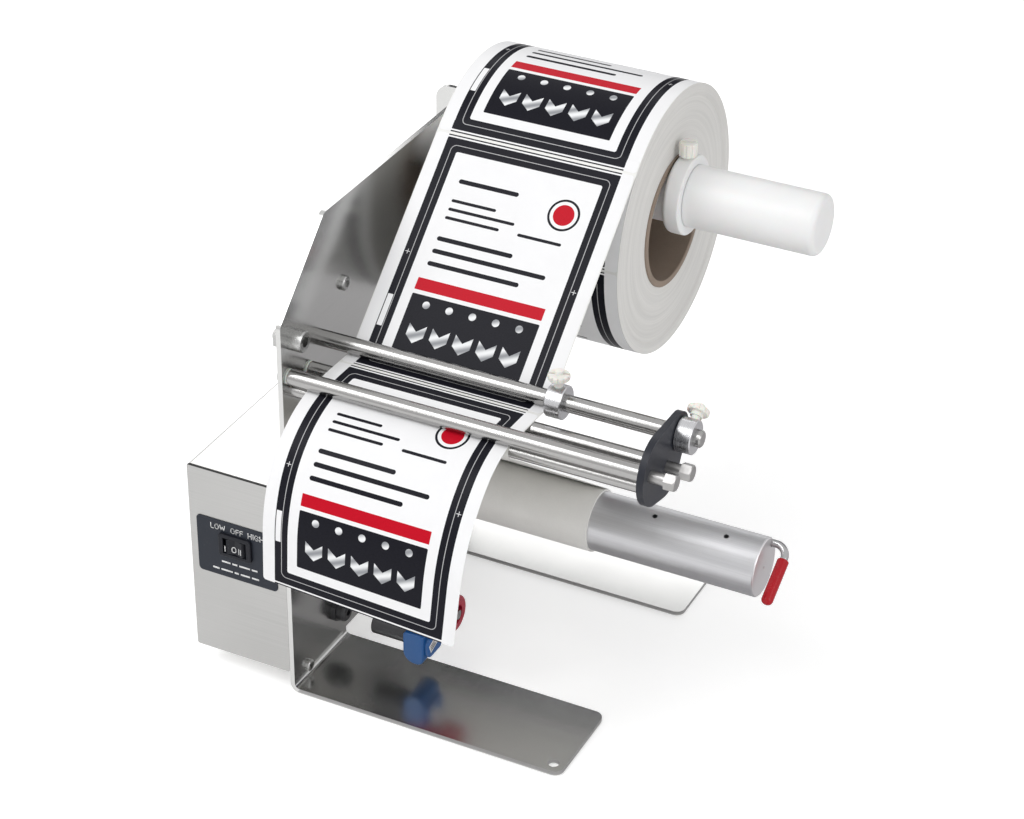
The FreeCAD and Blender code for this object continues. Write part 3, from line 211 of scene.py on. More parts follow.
def ground_bar(name, colour, rough):
    """Round bar along X, ground or turned round its own axis."""
    s = Shader(name, Metallic=1.0)
    rings = s.noise((2600.0, 18.0, 18.0), 3.0, 0.6)
    streaks = s.noise((6.0, 260.0, 260.0), 2.0, 0.5, (2.0, 9.0, 1.0))
    smudge = s.noise((45.0,) * 3, 3.0, 0.6, (5.0, 5.0, 1.0))
    mixed = s.blend(rings, 0.7, streaks)
    s.set("Base Color", s.tone(mixed, colour, 0.06))
    s.set("Roughness", s.math("ADD", s.remap(mixed, 0.3, 0.7, rough - 0.04, rough + 0.05),
                              s.remap(smudge, 0.45, 0.75, 0.0, 0.08)))
    s.set("Normal", s.bump(mixed, 0.000002, 0.4))
    return s.mat


def plain_metal(name, colour, rough, grain=700.0, depth=0.00003):
    """Cast, plated or moulded metal with a fine even grain."""
    s = Shader(name, Metallic=1.0)
    fine = s.noise((grain,) * 3, 4.0, 0.6)
    patch = s.noise((60.0,) * 3, 3.0, 0.55, (1.0, 6.0, 2.0))
    s.set("Base Color", s.tone(patch, colour, 0.10))
    s.set("Roughness", s.math("ADD", s.remap(fine, 0.3, 0.7, rough - 0.05, rough + 0.06),
                              s.remap(patch, 0.4, 0.7, 0.0, 0.06)))
    s.set("Normal", s.bump(fine, depth, 0.5))
    return s.mat


def plastic(name, colour, rough, grain=1400.0, spread=0.06, **constants):
    """Moulded or coated surface with a fine grain and a little dust."""
    s = Shader(name, **constants)
    fine = s.noise((grain,) * 3, 3.0, 0.6)
    cloud = s.noise((38.0,) * 3, 3.0, 0.55, (4.0, 1.0, 8.0))
    dust = s.noise((420.0,) * 3, 2.0, 0.7, (9.0, 3.0, 3.0))
    base = s.tone(cloud, colour, spread)
    dusty = tuple(min(1.0, c * 0.8 + 0.12) for c in colour)
    s.set("Base Color", s.mix(s.remap(dust, 0.60, 0.85, 0.0, 0.18), base, dusty))
    s.set("Roughness", s.math("ADD", s.remap(fine, 0.3, 0.7, rough - 0.04, rough + 0.05),
                              s.remap(cloud, 0.35, 0.7, -0.02, 0.05)))
    s.set("Normal", s.bump(fine, 0.00002, 0.5))
    return s.mat


def paper(name, colour, rough, fibre):
    """Paper or card; fibre is how much its colour varies."""
    s = Shader(name)
    fibres = s.noise((900.0, 2600.0, 2600.0), 4.0, 0.65)
    cloud = s.noise((55.0,) * 3, 4.0, 0.6, (2.0, 2.0, 7.0))
    both = s.blend(fibres, 0.5, cloud)
    s.set("Base Color", s.tone(both, colour, fibre))
    s.set("Roughness", s.remap(both, 0.3, 0.7, rough - 0.05, rough + 0.07))
    s.set("Normal", s.bump(fibres, 0.00002, 0.4))
    return s.mat


FRONT_TOP = 0.1452
mandrel_mesh = frame["nodes"]["takeup_mandrel"].data
MANDREL_END = max(v.co.x for v in mandrel_mesh.vertices) - 0.0004

MATERIALS = {
    "stainless": brushed_sheet("stainless", (0.56, 0.56, 0.552), 1, 0.20, 0.06),
    "housing_sheet": brushed_sheet("housing_sheet", (0.64, 0.635, 0.62), 0, 0.34, bend=True),
    # The front panel's sheet is a darker copy of the housing sheet, as painted shade, with a painted shadow
    # line above FRONT_TOP
    "shaded_front_sheet": brushed_sheet("shaded_front_sheet", (0.44, 0.437, 0.43), 0, 0.36, seam=FRONT_TOP),
    "spool": brushed_sheet("spool", (0.54, 0.54, 0.555), 0, 0.40, lit_end=MANDREL_END),
    "bar_steel": ground_bar("bar_steel", (0.36, 0.355, 0.35), 0.18),
    "aluminium": ground_bar("aluminium", (0.56, 0.56, 0.575), 0.26),
    "fastener_steel": plain_metal("fastener_steel", (0.42, 0.42, 0.415), 0.26),
    "axle_steel": plain_metal("axle_steel", (0.36, 0.355, 0.35), 0.32),
    "clip_steel": plain_metal("clip_steel", (0.40, 0.40, 0.405), 0.12),
    "cast_housing": plain_metal("cast_housing", (0.50, 0.50, 0.51), 0.48, 420.0, 0.0001),
    "motor_steel": plain_metal("motor_steel", (0.52, 0.52, 0.50), 0.32),
    "gear_steel": plain_metal("gear_steel", (0.46, 0.46, 0.46), 0.35),
    "bronze": plain_metal("bronze", (0.62, 0.44, 0.24), 0.40),
    "black_panel": plastic("black_panel", (0.020, 0.024, 0.034), 0.46, Specular_IOR_Level=0.22),
    "black_plastic": plastic("black_plastic", (0.020, 0.020, 0.023), 0.38),
    "switch_black": plastic("switch_black", (0.008, 0.009, 0.014), 0.44, Specular_IOR_Level=0.22),
    "black_anodised": plastic("black_anodised", (0.020, 0.022, 0.030), 0.38, grain=2200.0,
                              Specular_IOR_Level=0.25),
    "board_green": plastic("board_green", (0.02, 0.16, 0.06), 0.40),
    "component_black": plastic("component_black", (0.03, 0.03, 0.03), 0.45),
    "white_plastic": plastic("white_plastic", (0.86, 0.86, 0.86), 0.40, spread=0.02,
                             Subsurface_Weight=0.08, Subsurface_Scale=0.002),
    "nylon": plastic("nylon", (0.84, 0.83, 0.78), 0.36, spread=0.03,
                     Subsurface_Weight=0.25, Subsurface_Scale=0.003),
    "red_vinyl": plastic("red_vinyl", (0.44, 0.002, 0.010), 0.24, Specular_IOR_Level=0.25,
                         Coat_Weight=0.12, Coat_Roughness=0.1),
    "red_plastic": plastic("red_plastic", (0.34, 0.004, 0.026), 0.30, Specular_IOR_Level=0.3,
                           Coat_Weight=0.1),
    "blue_plastic": plastic("blue_plastic", (0.006, 0.085, 0.28), 0.34),
    "sensor_lens": plastic("sensor_lens", (0.10, 0.004, 0.006), 0.08),
    "label_paper": paper("label_paper", (0.88, 0.88, 0.87), 0.42, 0.02),
    "liner_paper": paper("liner_paper", (0.78, 0.77, 0.745), 0.38, 0.05),
    "cardboard_core": paper("cardboard_core", (0.27, 0.21, 0.165), 0.75, 0.14),
}

# Nodes that look different from their slot's other nodes
OWN_FINISH = {
    "motor_cover": "housing_sheet",
    "rear_panel": "housing_sheet",
    "front_panel": "shaded_front_sheet",
    "takeup_mandrel": "spool",
    "roller_axles": "axle_steel",
    "switch_body": "switch_black",
    "switch_rocker": "switch_black",
    "sensor_end_cap": "blue_plastic",
}

slot_of = {part["node"]: part["material_slot"] for part in frame["record"]["subparts"]}
for node, obj in frame["nodes"].items():
    for slot in obj.material_slots:
        slot.material = MATERIALS[OWN_FINISH.get(node, slot_of[node])]


# Paths of the web, the label that hangs and the liner

# Centres are (y, z) and all sizes are millimetres. RUN is the gap between paper and bar.
BAR_D, PEEL_D, RUN = 10.0, 8.0, 0.05
FRONT_BAR, UPPER_BAR, REAR_BAR, PEEL_BAR = (7.4, 221.5), (45.5, 227.5), (29.9, 214.718), (9.011, 212.138)
CORE, ROLL_R, CORE_OUT_R = (217.0, 260.05), 83.5, 42.0
MANDREL, WOUND_R = (119.3, 100.3), 19.7

# The web is a label on a liner, which meet a little on the printed side of its middle
WEB_T, MEETING = 0.4, -0.02
WEB_X, LABEL_X = (18.0, 147.0), (18.5, 146.5)
LABEL_LEN, LABEL_PITCH, LABEL_CORNER = 153.4, 155.0, 2.0

# The first label hangs DROP beyond the nip in three arcs and a straight end. Each side has its own
# radii, as shares of DROP. The web and the label run aside towards the plate by the drifts. The
# label ends SHORT_END before its way does.
DROP = 125.6
PLATE_SIDE_ARCS, FREE_SIDE_ARCS = (0.517, 0.460, 0.702), (0.437, 0.748, 0.784)
WEB_DRIFT, LABEL_DRIFT, SHORT_END = 5.6, 2.7, 0.1


def tangent(c1, s1, c2, s2):
    """Line that touches two circles: its ends and heading. A radius is negative where the line
    passes on the circle's other side."""
    dy, dz = c2[0] - c1[0], c2[1] - c1[1]
    beta = math.atan2(dz, dy) + math.acos((s2 - s1) / math.hypot(dy, dz))
    n = (math.cos(beta), math.sin(beta))
    p = (c1[0] - n[0] * s1, c1[1] - n[1] * s1)
    q = (c2[0] - n[0] * s2, c2[1] - n[1] * s2)
    return p, q, beta - math.pi / 2


class Path:
    """Lines and arcs in the y-z plane that meet smoothly; s is the length along them."""

    def __init__(self, start, heading):
        self.pieces = []
        self.end = start
        self.heading = heading
        self.length = 0.0

    def add(self, length, curve):
        """A stretch whose heading changes by curve radians per millimetre."""
        self.pieces.append((self.length, self.end, self.heading, curve))
        self.end, self.heading = self.walk(self.pieces[-1], length)
        self.length += length
        return self

    def walk(self, piece, d):
        """Place and heading after d millimetres of a stretch."""
        _, (y, z), start, curve = piece
        if abs(curve) < 1e-9:
            return (y + d * math.cos(start), z + d * math.sin(start)), start
        r = 1 / curve
        end = start + curve * d
        return (y + r * (math.sin(end) - math.sin(start)), z - r * (math.cos(end) - math.cos(start))), end

    def at(self, s, off):
        """Point at length s, moved off to the left."""
        piece = [p for p in self.pieces if p[0] <= s + 1e-9][-1] if s > 0 else self.pieces[0]
        (y, z), heading = self.walk(piece, s - piece[0])
        return y - math.sin(heading) * off, z + math.cos(heading) * off


side = BAR_D / 2 + RUN + WEB_T / 2
turns = [(CORE, ROLL_R + RUN + WEB_T / 2), (UPPER_BAR, -side), (REAR_BAR, side), (FRONT_BAR, -side)]
legs = [tangent(*turns[i], *turns[i + 1]) for i in range(3)]
NIP_Y = legs[2][1][0]
NIP_HEADING = legs[2][2]


def web_path(arcs):
    """Way of the web to the nip and on down one side of the hanging label."""
    path = Path(legs[0][0], legs[0][2])
    for i, (p, q, h) in enumerate(legs):
        path.add(math.hypot(q[0] - p[0], q[1] - p[1]), 0.0)
        if i < 2:
            swing = (legs[i + 1][2] - h + math.pi) % (2 * math.pi) - math.pi
            path.add(abs(swing) * side, math.copysign(1 / side, swing))
    nip = path.length
    for share in arcs:
        path.add(DROP / 4, 1 / (DROP * share))
    return path.add(DROP / 4, 0.0), nip


plate_way, NIP_S = web_path(PLATE_SIDE_ARCS)
free_way, _ = web_path(FREE_SIDE_ARCS)
wrap_angle = math.atan2(legs[0][0][1] - CORE[1], legs[0][0][0] - CORE[0])


def web_point(x, s, off):
    """Point of the web or of the hanging label, which runs a little towards the plate."""
    share = (x - WEB_X[0]) / (WEB_X[1] - WEB_X[0])
    ya, za = plate_way.at(s, off)
    yb, zb = free_way.at(s, off)
    y, z = ya + (yb - ya) * share, za + (zb - za) * share
    if s <= NIP_S:
        aside = WEB_DRIFT * max(0.0, UPPER_BAR[0] - y) / (UPPER_BAR[0] - NIP_Y)
    else:
        aside = WEB_DRIFT + LABEL_DRIFT * (s - NIP_S) / DROP
    return at(x - aside, y, z)


def spread(a, b, step):
    """Even values from a to b, about a step apart."""
    n = max(1, round((b - a) / step))
    return [a + (b - a) * i / n for i in range(n + 1)]


def mesh_piece(name, verts, faces, materials, slots=None, uvs=None, smooth=40.0):
    """Object from points and faces, smooth where faces meet at less than that angle."""
    mesh = bpy.data.meshes.new(name)
    mesh.from_pydata([tuple(v) for v in verts], [], faces)
    for m in materials:
        mesh.materials.append(m)
    if slots:
        mesh.polygons.foreach_set("material_index", slots)
    if uvs:
        layer = mesh.uv_layers.new(name="print")
        flat = [c for face in uvs for uv in face for c in uv]
        layer.data.foreach_set("uv", flat)
    mesh.validate()
    mesh.shade_smooth()
    if smooth:
        mesh.set_sharp_from_angle(angle=math.radians(smooth))
    obj = bpy.data.objects.new(name, mesh)
    bpy.context.scene.collection.objects.link(obj)
    return obj


ROW_STEP, COLUMNS, CORNER_STEPS = 1.5, 24, 6


def ribbon(name, point, s0, s1, x0, x1, low, high, top, under, corner=0.0):
    """Thin strip between two offsets from a way; the low side is the printed one, point(x, s, off)
    gives its places, and corner rounds its four corners."""
    ss = spread(s0, s1, ROW_STEP)
    if corner:
        quarter = math.pi / 2 / CORNER_STEPS
        ends = [corner * (1 - math.cos(quarter * k)) for k in range(CORNER_STEPS + 1)]
        ss = [s for s in ss if s0 + corner < s < s1 - corner]
        ss = [s0 + e for e in ends] + ss + [s1 - e for e in ends[::-1]]
    verts, uvs_top = [], []
    for s in ss:
        edge = min(s - s0, s1 - s)
        inset = corner - math.sqrt(max(0.0, corner ** 2 - (corner - edge) ** 2)) if edge < corner else 0.0
        for i in range(COLUMNS + 1):
            x = x0 + inset + (x1 - x0 - 2 * inset) * i / COLUMNS
            verts += [point(x, s, low), point(x, s, high)]
            uvs_top.append((x / 100, (s - NIP_S) / 100))
    rows, wide = len(ss), COLUMNS + 1
    faces, slots, uvs = [], [], []

    def add(quad, slot):
        faces.append([v for v, _ in quad])
        uvs.append([uvs_top[i] for _, i in quad])
        slots.append(slot)

    for r in range(rows - 1):
        for c in range(COLUMNS):
            i, j = r * wide + c, (r + 1) * wide + c
            add([(2 * k, k) for k in (i, i + 1, j + 1, j)], 0)
            add([(2 * k + 1, k) for k in (i, j, j + 1, i + 1)], 1)
        for c, flip in ((0, False), (COLUMNS, True)):
            i, j = r * wide + c, (r + 1) * wide + c
            quad = [(2 * i, i), (2 * j, j), (2 * j + 1, j), (2 * i + 1, i)]
            add(quad[::-1] if flip else quad, 1)
    for r, flip in ((0, True), (rows - 1, False)):
        for c in range(COLUMNS):
            i = r * wide + c
            quad = [(2 * i, i), (2 * i + 1, i), (2 * i + 3, i + 1), (2 * i + 2, i + 1)]
            add(quad[::-1] if flip else quad, 1)
    return mesh_piece(name, verts, faces, [top, under], slots, uvs)


# Printed labels


class Value:
    """A number in a node tree that can be written in sums."""

    def __init__(self, shader, socket):
        self.shader = shader
        self.socket = socket

    def do(self, op, other=0.0, third=0.0, clamp=False):
        pick = [o.socket if isinstance(o, Value) else o for o in (other, third)]
        return Value(self.shader, self.shader.math(op, self.socket, *pick, clamp))

    def __add__(self, other):
        return self.do("ADD", other)

    def __sub__(self, other):
        return self.do("SUBTRACT", other)

    def __mul__(self, other):
        return self.do("MULTIPLY", other)

    def __abs__(self):
        return self.do("ABSOLUTE")

    def most(self, other):
        return self.do("MAXIMUM", other)

    def least(self, other):
        return self.do("MINIMUM", other)

    def inside(self, soft=0.12):
        """1 where the distance is below zero."""
        return (self * (-1 / soft)).do("ADD", 0.5, clamp=True)


def rounded_box(a, b, box, r):
    """Distance from a rounded rectangle (a0, a1, b0, b1), negative inside it."""
    a0, a1, b0, b1 = box
    da = abs(a - (a0 + a1) / 2) - ((a1 - a0) / 2 - r)
    db = abs(b - (b0 + b1) / 2) - ((b1 - b0) / 2 - r)
    pa, pb = da.most(0.0), db.most(0.0)
    far = (pa * pa + pb * pb).do("SQRT")
    return far + da.most(db).least(0.0) - r


def disc(a, b, ca, cb, r):
    da, db = a - ca, b - cb
    return (da * da + db * db).do("SQRT") - r


# The labels' design, in millimetres from the label's side and leading edge. Its black frame has an
# outer edge, an inner edge and a thin paler line between them, each given as distance from the
# sides, distance from the ends and corner radius. Small crosses and a white patch stand in it.
FRAME_OUTER, FRAME_INNER, FRAME_LINE = (8.0, 1.8, 0.6), (16.6, 10.2, 1.2), (12.6, 6.2, 3.4)
LINE_HALF, LINE_TONE = 0.22, 0.45
CROSS_SIDE, CROSS_AT, CROSS_HALF_LONG, CROSS_HALF_THICK = 10.4, 76.5, 1.5, 0.2
PATCH = (8.6, 12.0, 104.0, 124.0)

# Left, right, start and width of each plain rule
RULES = [(25.0, 84.0, 79.0, 2.8), (25.0, 98.0, 71.0, 2.8), (25.0, 74.0, 63.0, 2.8),
         (25.0, 60.0, 50.0, 1.9), (25.0, 68.0, 44.5, 1.9), (25.0, 54.0, 39.0, 1.9),
         (25.0, 64.0, 26.0, 2.8), (72.0, 100.0, 50.0, 1.9)]

# A black block with a row of silvery chevrons over spots, a red band, and a red dot in a ring
BLOCK_SIDE, BLOCK_ENDS, BAND_ENDS = 23.0, (100.0, 137.0), (90.0, 97.5)
MARK_COUNT, MARK_START, MARK_STEP = 5, 34.0, 15.0
CHEVRON_AT, CHEVRON_SLOPE, CHEVRON_HALF_WIDE, CHEVRON_HALF_HIGH = 126.0, 0.8, 5.6, 3.6
SPOT_AT, SPOT_R = 105.5, 2.3
DOT_AT, DOT_R, RING_R, RING_HALF = 33.0, 6.5, 9.2, 0.7


def print_material(name):
    """White label with a thick black frame, a black end block with silvery marks, a red band and
    rows of plain rules. No lettering."""
    s = Shader(name, Specular_IOR_Level=0.07)
    u, v = s.uv()
    a = Value(s, u) * 100.0 - LABEL_X[0]
    b = (Value(s, v) * 100.0 - (DROP - LABEL_LEN)).do("WRAP", LABEL_PITCH, 0.0)
    wide = LABEL_X[1] - LABEL_X[0]

    def inset(side, end, r):
        """Distance from a box that lies so far inside the label's sides and ends."""
        return rounded_box(a, b, (side, wide - side, end, LABEL_LEN - end), r)

    def bar(ca, cb, half_a, half_b):
        """1 inside a small box round the place (ca, cb)."""
        return rounded_box(a, b, (ca - half_a, ca + half_a, cb - half_b, cb + half_b), 0.1).inside()

    on_label = inset(0.0, 0.0, LABEL_CORNER).inside()
    black = inset(*FRAME_OUTER).inside() * (inset(*FRAME_INNER) * -1.0).inside()
    line = abs(inset(*FRAME_LINE)) - LINE_HALF
    black = black * ((line * -1.0).inside() * (1 - LINE_TONE) + LINE_TONE)
    rim = inset(8.0, -2.0, 0.4).inside()
    black = black.most(rim * inset(-9.0, 0.9, 0.4).do("MULTIPLY", 8.0, clamp=True))

    for ca in (CROSS_SIDE, wide - CROSS_SIDE):
        cross = bar(ca, CROSS_AT, CROSS_HALF_LONG, CROSS_HALF_THICK)
        cross = cross.most(bar(ca, CROSS_AT, CROSS_HALF_THICK, CROSS_HALF_LONG))
        black = black * (cross * -0.8 + 1.0)
    black = black * (rounded_box(a, b, PATCH, 0.3).inside() * -1.0 + 1.0)

    block = rounded_box(a, b, (BLOCK_SIDE, wide - BLOCK_SIDE, *BLOCK_ENDS), 0.8).inside()
    black = black.most(block)
    silver = block * 0.0
    for k in range(MARK_COUNT):
        ca = MARK_START + MARK_STEP * k
        bend = abs(a - ca) * CHEVRON_SLOPE + b - CHEVRON_AT
        chevron = (abs(bend) - CHEVRON_HALF_HIGH).most(abs(a - ca) - CHEVRON_HALF_WIDE).inside()
        silver = silver.most(chevron).most(disc(a, b, ca, SPOT_AT, SPOT_R).inside())
    red = rounded_box(a, b, (BLOCK_SIDE, wide - BLOCK_SIDE, *BAND_ENDS), 0.4).inside()
    red = red.most(disc(a, b, wide - DOT_AT, DOT_AT, DOT_R).inside())
    black = black.most((abs(disc(a, b, wide - DOT_AT, DOT_AT, RING_R)) - RING_HALF).inside())
    for left, right, start, thick in RULES:
        black = black.most(rounded_box(a, b, (left, right, start, start + thick), thick / 2).inside())

    fibres = s.noise((900.0, 2600.0, 2600.0), 4.0, 0.65)
    cloud = s.noise((60.0,) * 3, 3.0, 0.6, (2.0, 2.0, 7.0))
    white = s.tone(cloud, (0.89, 0.89, 0.90), 0.012)
    ink = s.tone(fibres, (0.011, 0.011, 0.016), 0.25)
    red_ink = s.tone(fibres, (0.54, 0.006, 0.020), 0.06)
    # Painted sheen: the silvery marks get diagonal bands of light and dark that stand in for reflection.
    sheen = s.remap((b * 0.75 + a * 0.35).do("SINE").socket, -1.0, 1.0, 0.0, 1.0)
    metal = s.mix(sheen, (0.30, 0.31, 0.33), (0.88, 0.89, 0.90))
    liner = s.tone(cloud, (0.82, 0.82, 0.80), 0.02)
    shown = s.mix(black.socket, white, ink)
    shown = s.mix(red.socket, shown, red_ink)
    shown = s.mix(silver.socket, shown, metal)
    s.set("Base Color", s.mix(on_label.socket, liner, shown))
    gloss = s.remap(black.most(red).socket, 0.0, 1.0, 0.42, 0.32)
    s.set("Roughness", s.math("ADD", gloss, s.remap(fibres, 0.3, 0.7, -0.03, 0.04)))
    relief = s.bump(on_label.socket, 0.00010, 0.5)
    s.set("Normal", s.bump(fibres, 0.000006, 0.4, relief))
    return s.mat


label_print = print_material("label_print")
label_back = paper("label_back", (0.84, 0.83, 0.80), 0.5, 0.02)
liner_face = paper("liner_face", (0.80, 0.80, 0.78), 0.40, 0.02)
liner_bare = paper("liner_bare", (0.76, 0.755, 0.73), 0.36, 0.04)


def dress(obj, body, slot, *nodes):
    """Lets a piece ride on a body in place of the nodes, which it hides. The slot is not used."""
    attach(obj, body)
    if nodes:
        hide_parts(*nodes)


def label(name, start, end, corner=0.0):
    """A printed label on the web, or a part of one."""
    span = (start, end, *LABEL_X, -WEB_T / 2, MEETING)
    return ribbon(name, web_point, *span, label_print, label_back, corner)


first_label = NIP_S + DROP - LABEL_LEN
next_label = first_label - LABEL_PITCH
last_end = next_label - LABEL_PITCH + LABEL_LEN
label_a = label("label_peeling", first_label, NIP_S + DROP - SHORT_END, LABEL_CORNER)
dress(label_a, "frame", "label_paper", "dispensed_label")
label_b = label("label_on_web", next_label, next_label + LABEL_LEN, LABEL_CORNER)
dress(label_b, "frame", "label_paper")
label_c = label("label_off_roll", 0.0, last_end)
dress(label_c, "frame", "label_paper")
web_liner = ribbon("web_liner", web_point, 0.0, NIP_S, *WEB_X, MEETING, WEB_T / 2 + MEETING,
                   liner_face, liner_face)
dress(web_liner, "frame", "liner_paper", "label_web")

half_liner = (WEB_T / 2 + MEETING) / 2
peel_side = PEEL_D / 2 + RUN + half_liner
leave, reach_in, return_heading = tangent(PEEL_BAR, peel_side, MANDREL, -(WOUND_R + RUN + half_liner))
liner = Path(plate_way.at(NIP_S, WEB_T / 2 - half_liner), NIP_HEADING)
liner.add(peel_side * ((return_heading - NIP_HEADING) % (2 * math.pi)), 1 / peel_side)
liner.add(math.hypot(reach_in[0] - leave[0], reach_in[1] - leave[1]), 0.0)


def liner_point(x, s, off):
    y, z = liner.at(s, off)
    return at(x - WEB_DRIFT * (reach_in[0] - y) / (reach_in[0] - NIP_Y), y, z)


liner_return = ribbon("liner_return", liner_point, 0.0, liner.length, *WEB_X, -half_liner, half_liner,
                      liner_bare, liner_bare)
dress(liner_return, "frame", "liner_paper", "liner_web")


# Supply roll
# The roll's free face is dished inside its rim, whose edge has a small bevel
RIM_W, DISH, RIM_EDGE, RIM_BEVEL = 6.5, 1.3, 0.6, (0.12, 0.15)
LAYER_STEP, LAYER_DEPTH = 0.9, 0.16
BACK_SHARE = 0.6
ROUND = 240

# The outermost turn ends where the web leaves, so the roll loses this much in one turn
TURN_LOSS, LOOSE_FROM = 0.35, 60.0

rng = random.Random(11)


def layered(r0, r1, x_of):
    """Points of a wound face from radius r0 to r1, with layers that stand in and out a little."""
    return [(x_of(r) - rng.random() * LAYER_DEPTH, r) for r in spread(r0, r1, LAYER_STEP)]


def roll_face_material():
    s = Shader("roll_face")
    r = s.radius(*CORE)
    _, y, z = s.split(s.coords())

    def rings(across_layers, round_axis, detail, rough):
        """Noise that changes quickly across the layers and slowly round the roll."""
        place = s.node("ShaderNodeCombineXYZ", {0: s.math("MULTIPLY", r, across_layers),
                                                1: s.math("MULTIPLY", y, round_axis),
                                                2: s.math("MULTIPLY", z, round_axis)})
        return s.noise_at(place.outputs[0], detail, rough)

    fine = rings(4.2, 14.0, 3.0, 0.7)
    both = s.blend(fine, 0.55, rings(0.42, 9.0, 2.0, 0.5))
    s.set("Base Color", s.tone(both, (0.70, 0.69, 0.67), 0.09, 0.35, 0.65))
    s.set("Roughness", s.remap(fine, 0.3, 0.7, 0.55, 0.75))
    s.set("Normal", s.bump(fine, 0.00012, 0.7))
    return s.mat


def supply_roll():
    def face_x(r):
        """Place of the free face, which is dished inside its rim."""
        t = min(1.0, max(0.0, (r - (ROLL_R - RIM_W) + RIM_EDGE) / (2 * RIM_EDGE)))
        return WEB_X[1] - DISH * (1 - t * t * (3 - 2 * t))

    free_face = layered(CORE_OUT_R + RUN, ROLL_R - RIM_BEVEL[1], face_x)
    free_face.append((WEB_X[1] - RIM_BEVEL[0], ROLL_R))
    plate_face = [(WEB_X[0] + (WEB_X[1] - x) * BACK_SHARE, r) for x, r in free_face]
    profile = plate_face + free_face[::-1]
    n = len(profile)
    printed = len(plate_face) - 1
    verts, faces, slots, uvs = [], [], [], []
    for k in range(ROUND):
        a = wrap_angle - 2 * math.pi * k / ROUND
        for x, r in profile:
            loss = TURN_LOSS * k / ROUND * max(0.0, (r - LOOSE_FROM) / (ROLL_R - LOOSE_FROM))
            verts.append(at(x, CORE[0] + (r - loss) * math.cos(a), CORE[1] + (r - loss) * math.sin(a)))
    arc = 2 * math.pi * ROLL_R / ROUND
    for k in range(ROUND):
        m = (k + 1) % ROUND
        s0, s1 = (-NIP_S - arc * k) / 100, (-NIP_S - arc * (k + 1)) / 100
        for i in range(n):
            j = (i + 1) % n
            faces.append((k * n + i, m * n + i, m * n + j, k * n + j))
            slots.append(1 if i == printed else 0)
            x0, x1 = profile[i][0] / 100, profile[j][0] / 100
            uvs.append([(x0, s0), (x0, s1), (x1, s1), (x1, s0)])
    obj = mesh_piece("supply_roll", verts, faces, [roll_face_material(), label_print], slots, uvs, 35.0)
    dress(obj, "roll", "label_paper", "label_roll")


supply_roll()


# Marks on the switch

# Strokes of the few letters used, on a field one unit high, and how far each letter advances
LETTER_GAP = 0.26
LETTERS = {
    "L": (0.55, [[(0, 1), (0, 0), (0.5, 0)]]),
    "O": (0.75, [[(0.2, 0), (0, 0.25), (0, 0.75), (0.2, 1), (0.5, 1), (0.7, 0.75), (0.7, 0.25), (0.5, 0),
                  (0.2, 0)]]),
    "W": (1.0, [[(0, 1), (0.22, 0), (0.48, 0.8), (0.74, 0), (0.96, 1)]]),
    "F": (0.55, [[(0, 0), (0, 1), (0.52, 1)], [(0, 0.52), (0.44, 0.52)]]),
    "H": (0.68, [[(0, 0), (0, 1)], [(0.64, 0), (0.64, 1)], [(0, 0.5), (0.64, 0.5)]]),
    "I": (0.12, [[(0.05, 0), (0.05, 1)]]),
    "G": (0.75, [[(0.68, 0.8), (0.5, 1), (0.2, 1), (0, 0.75), (0, 0.25), (0.2, 0), (0.5, 0), (0.7, 0.2),
                  (0.7, 0.48), (0.42, 0.48)]]),
}


def stroke_marks(name, point, material, words=(), stroke=0.0, rules=(), thick=0.05):
    """Raised words from (text, left, base, height) with strokes that wide, and level rules from
    (left, right, middle, width); point(u, v, w) gives a place u across, v up and w out of the
    surface."""
    verts, faces = [], []

    def bar(p, q, wide):
        (pu, pv), (qu, qv) = p, q
        d = math.hypot(qu - pu, qv - pv)
        du, dv = (qu - pu) / d * wide / 2, (qv - pv) / d * wide / 2
        ring = [(pu - du - dv, pv - dv + du), (pu - du + dv, pv - dv - du),
                (qu + du + dv, qv + dv - du), (qu + du - dv, qv + dv + du)]
        start = len(verts)
        verts.extend(point(u, v, w) for w in (0.0, thick) for u, v in ring)
        for corners in ((0, 1, 2, 3), (7, 6, 5, 4), (0, 4, 5, 1), (1, 5, 6, 2), (2, 6, 7, 3), (3, 7, 4, 0)):
            faces.append(tuple(start + i for i in corners))

    for text, left, base, height in words:
        for letter in text:
            advance, lines = LETTERS[letter]
            for line in lines:
                placed = [(left + u * height, base + v * height) for u, v in line]
                for p, q in zip(placed, placed[1:]):
                    bar(p, q, stroke)
            left += (advance + LETTER_GAP) * height
    for left, right, middle, wide in rules:
        bar((left + wide / 2, middle), (right - wide / 2, middle), wide)
    return mesh_piece(name, verts, faces, [material], smooth=0)


def dashes(left, middle, lengths, wide=1.2, gap=1.3):
    """A row of level rules of those lengths."""
    out = []
    for length in lengths:
        out.append((left, left + length, middle, wide))
        left += length + gap
    return out


mark_white = plastic("mark_white", (0.80, 0.80, 0.80), 0.5, spread=0.03)
mark_dark = plastic("mark_dark", (0.03, 0.03, 0.035), 0.5, spread=0.03)

# The panel's face, and the rocker's two halves that lean out from its middle
PANEL_Y, ROCKER_Y, ROCKER_X, LEAN = -0.5, -1.6, -37.0, math.tan(math.radians(12.0))
WORDS_Z, WORDS_H, WORDS_W = 105.2, 3.5, 0.55
SIGNS_Z, SIGNS_H, SIGNS_W = 92.6, 3.6, 0.5


def on_panel(u, v, w):
    return at(u, PANEL_Y - w, v)


def on_rocker(u, v, w):
    return at(u, ROCKER_Y - abs(u - ROCKER_X) * LEAN - w, v)


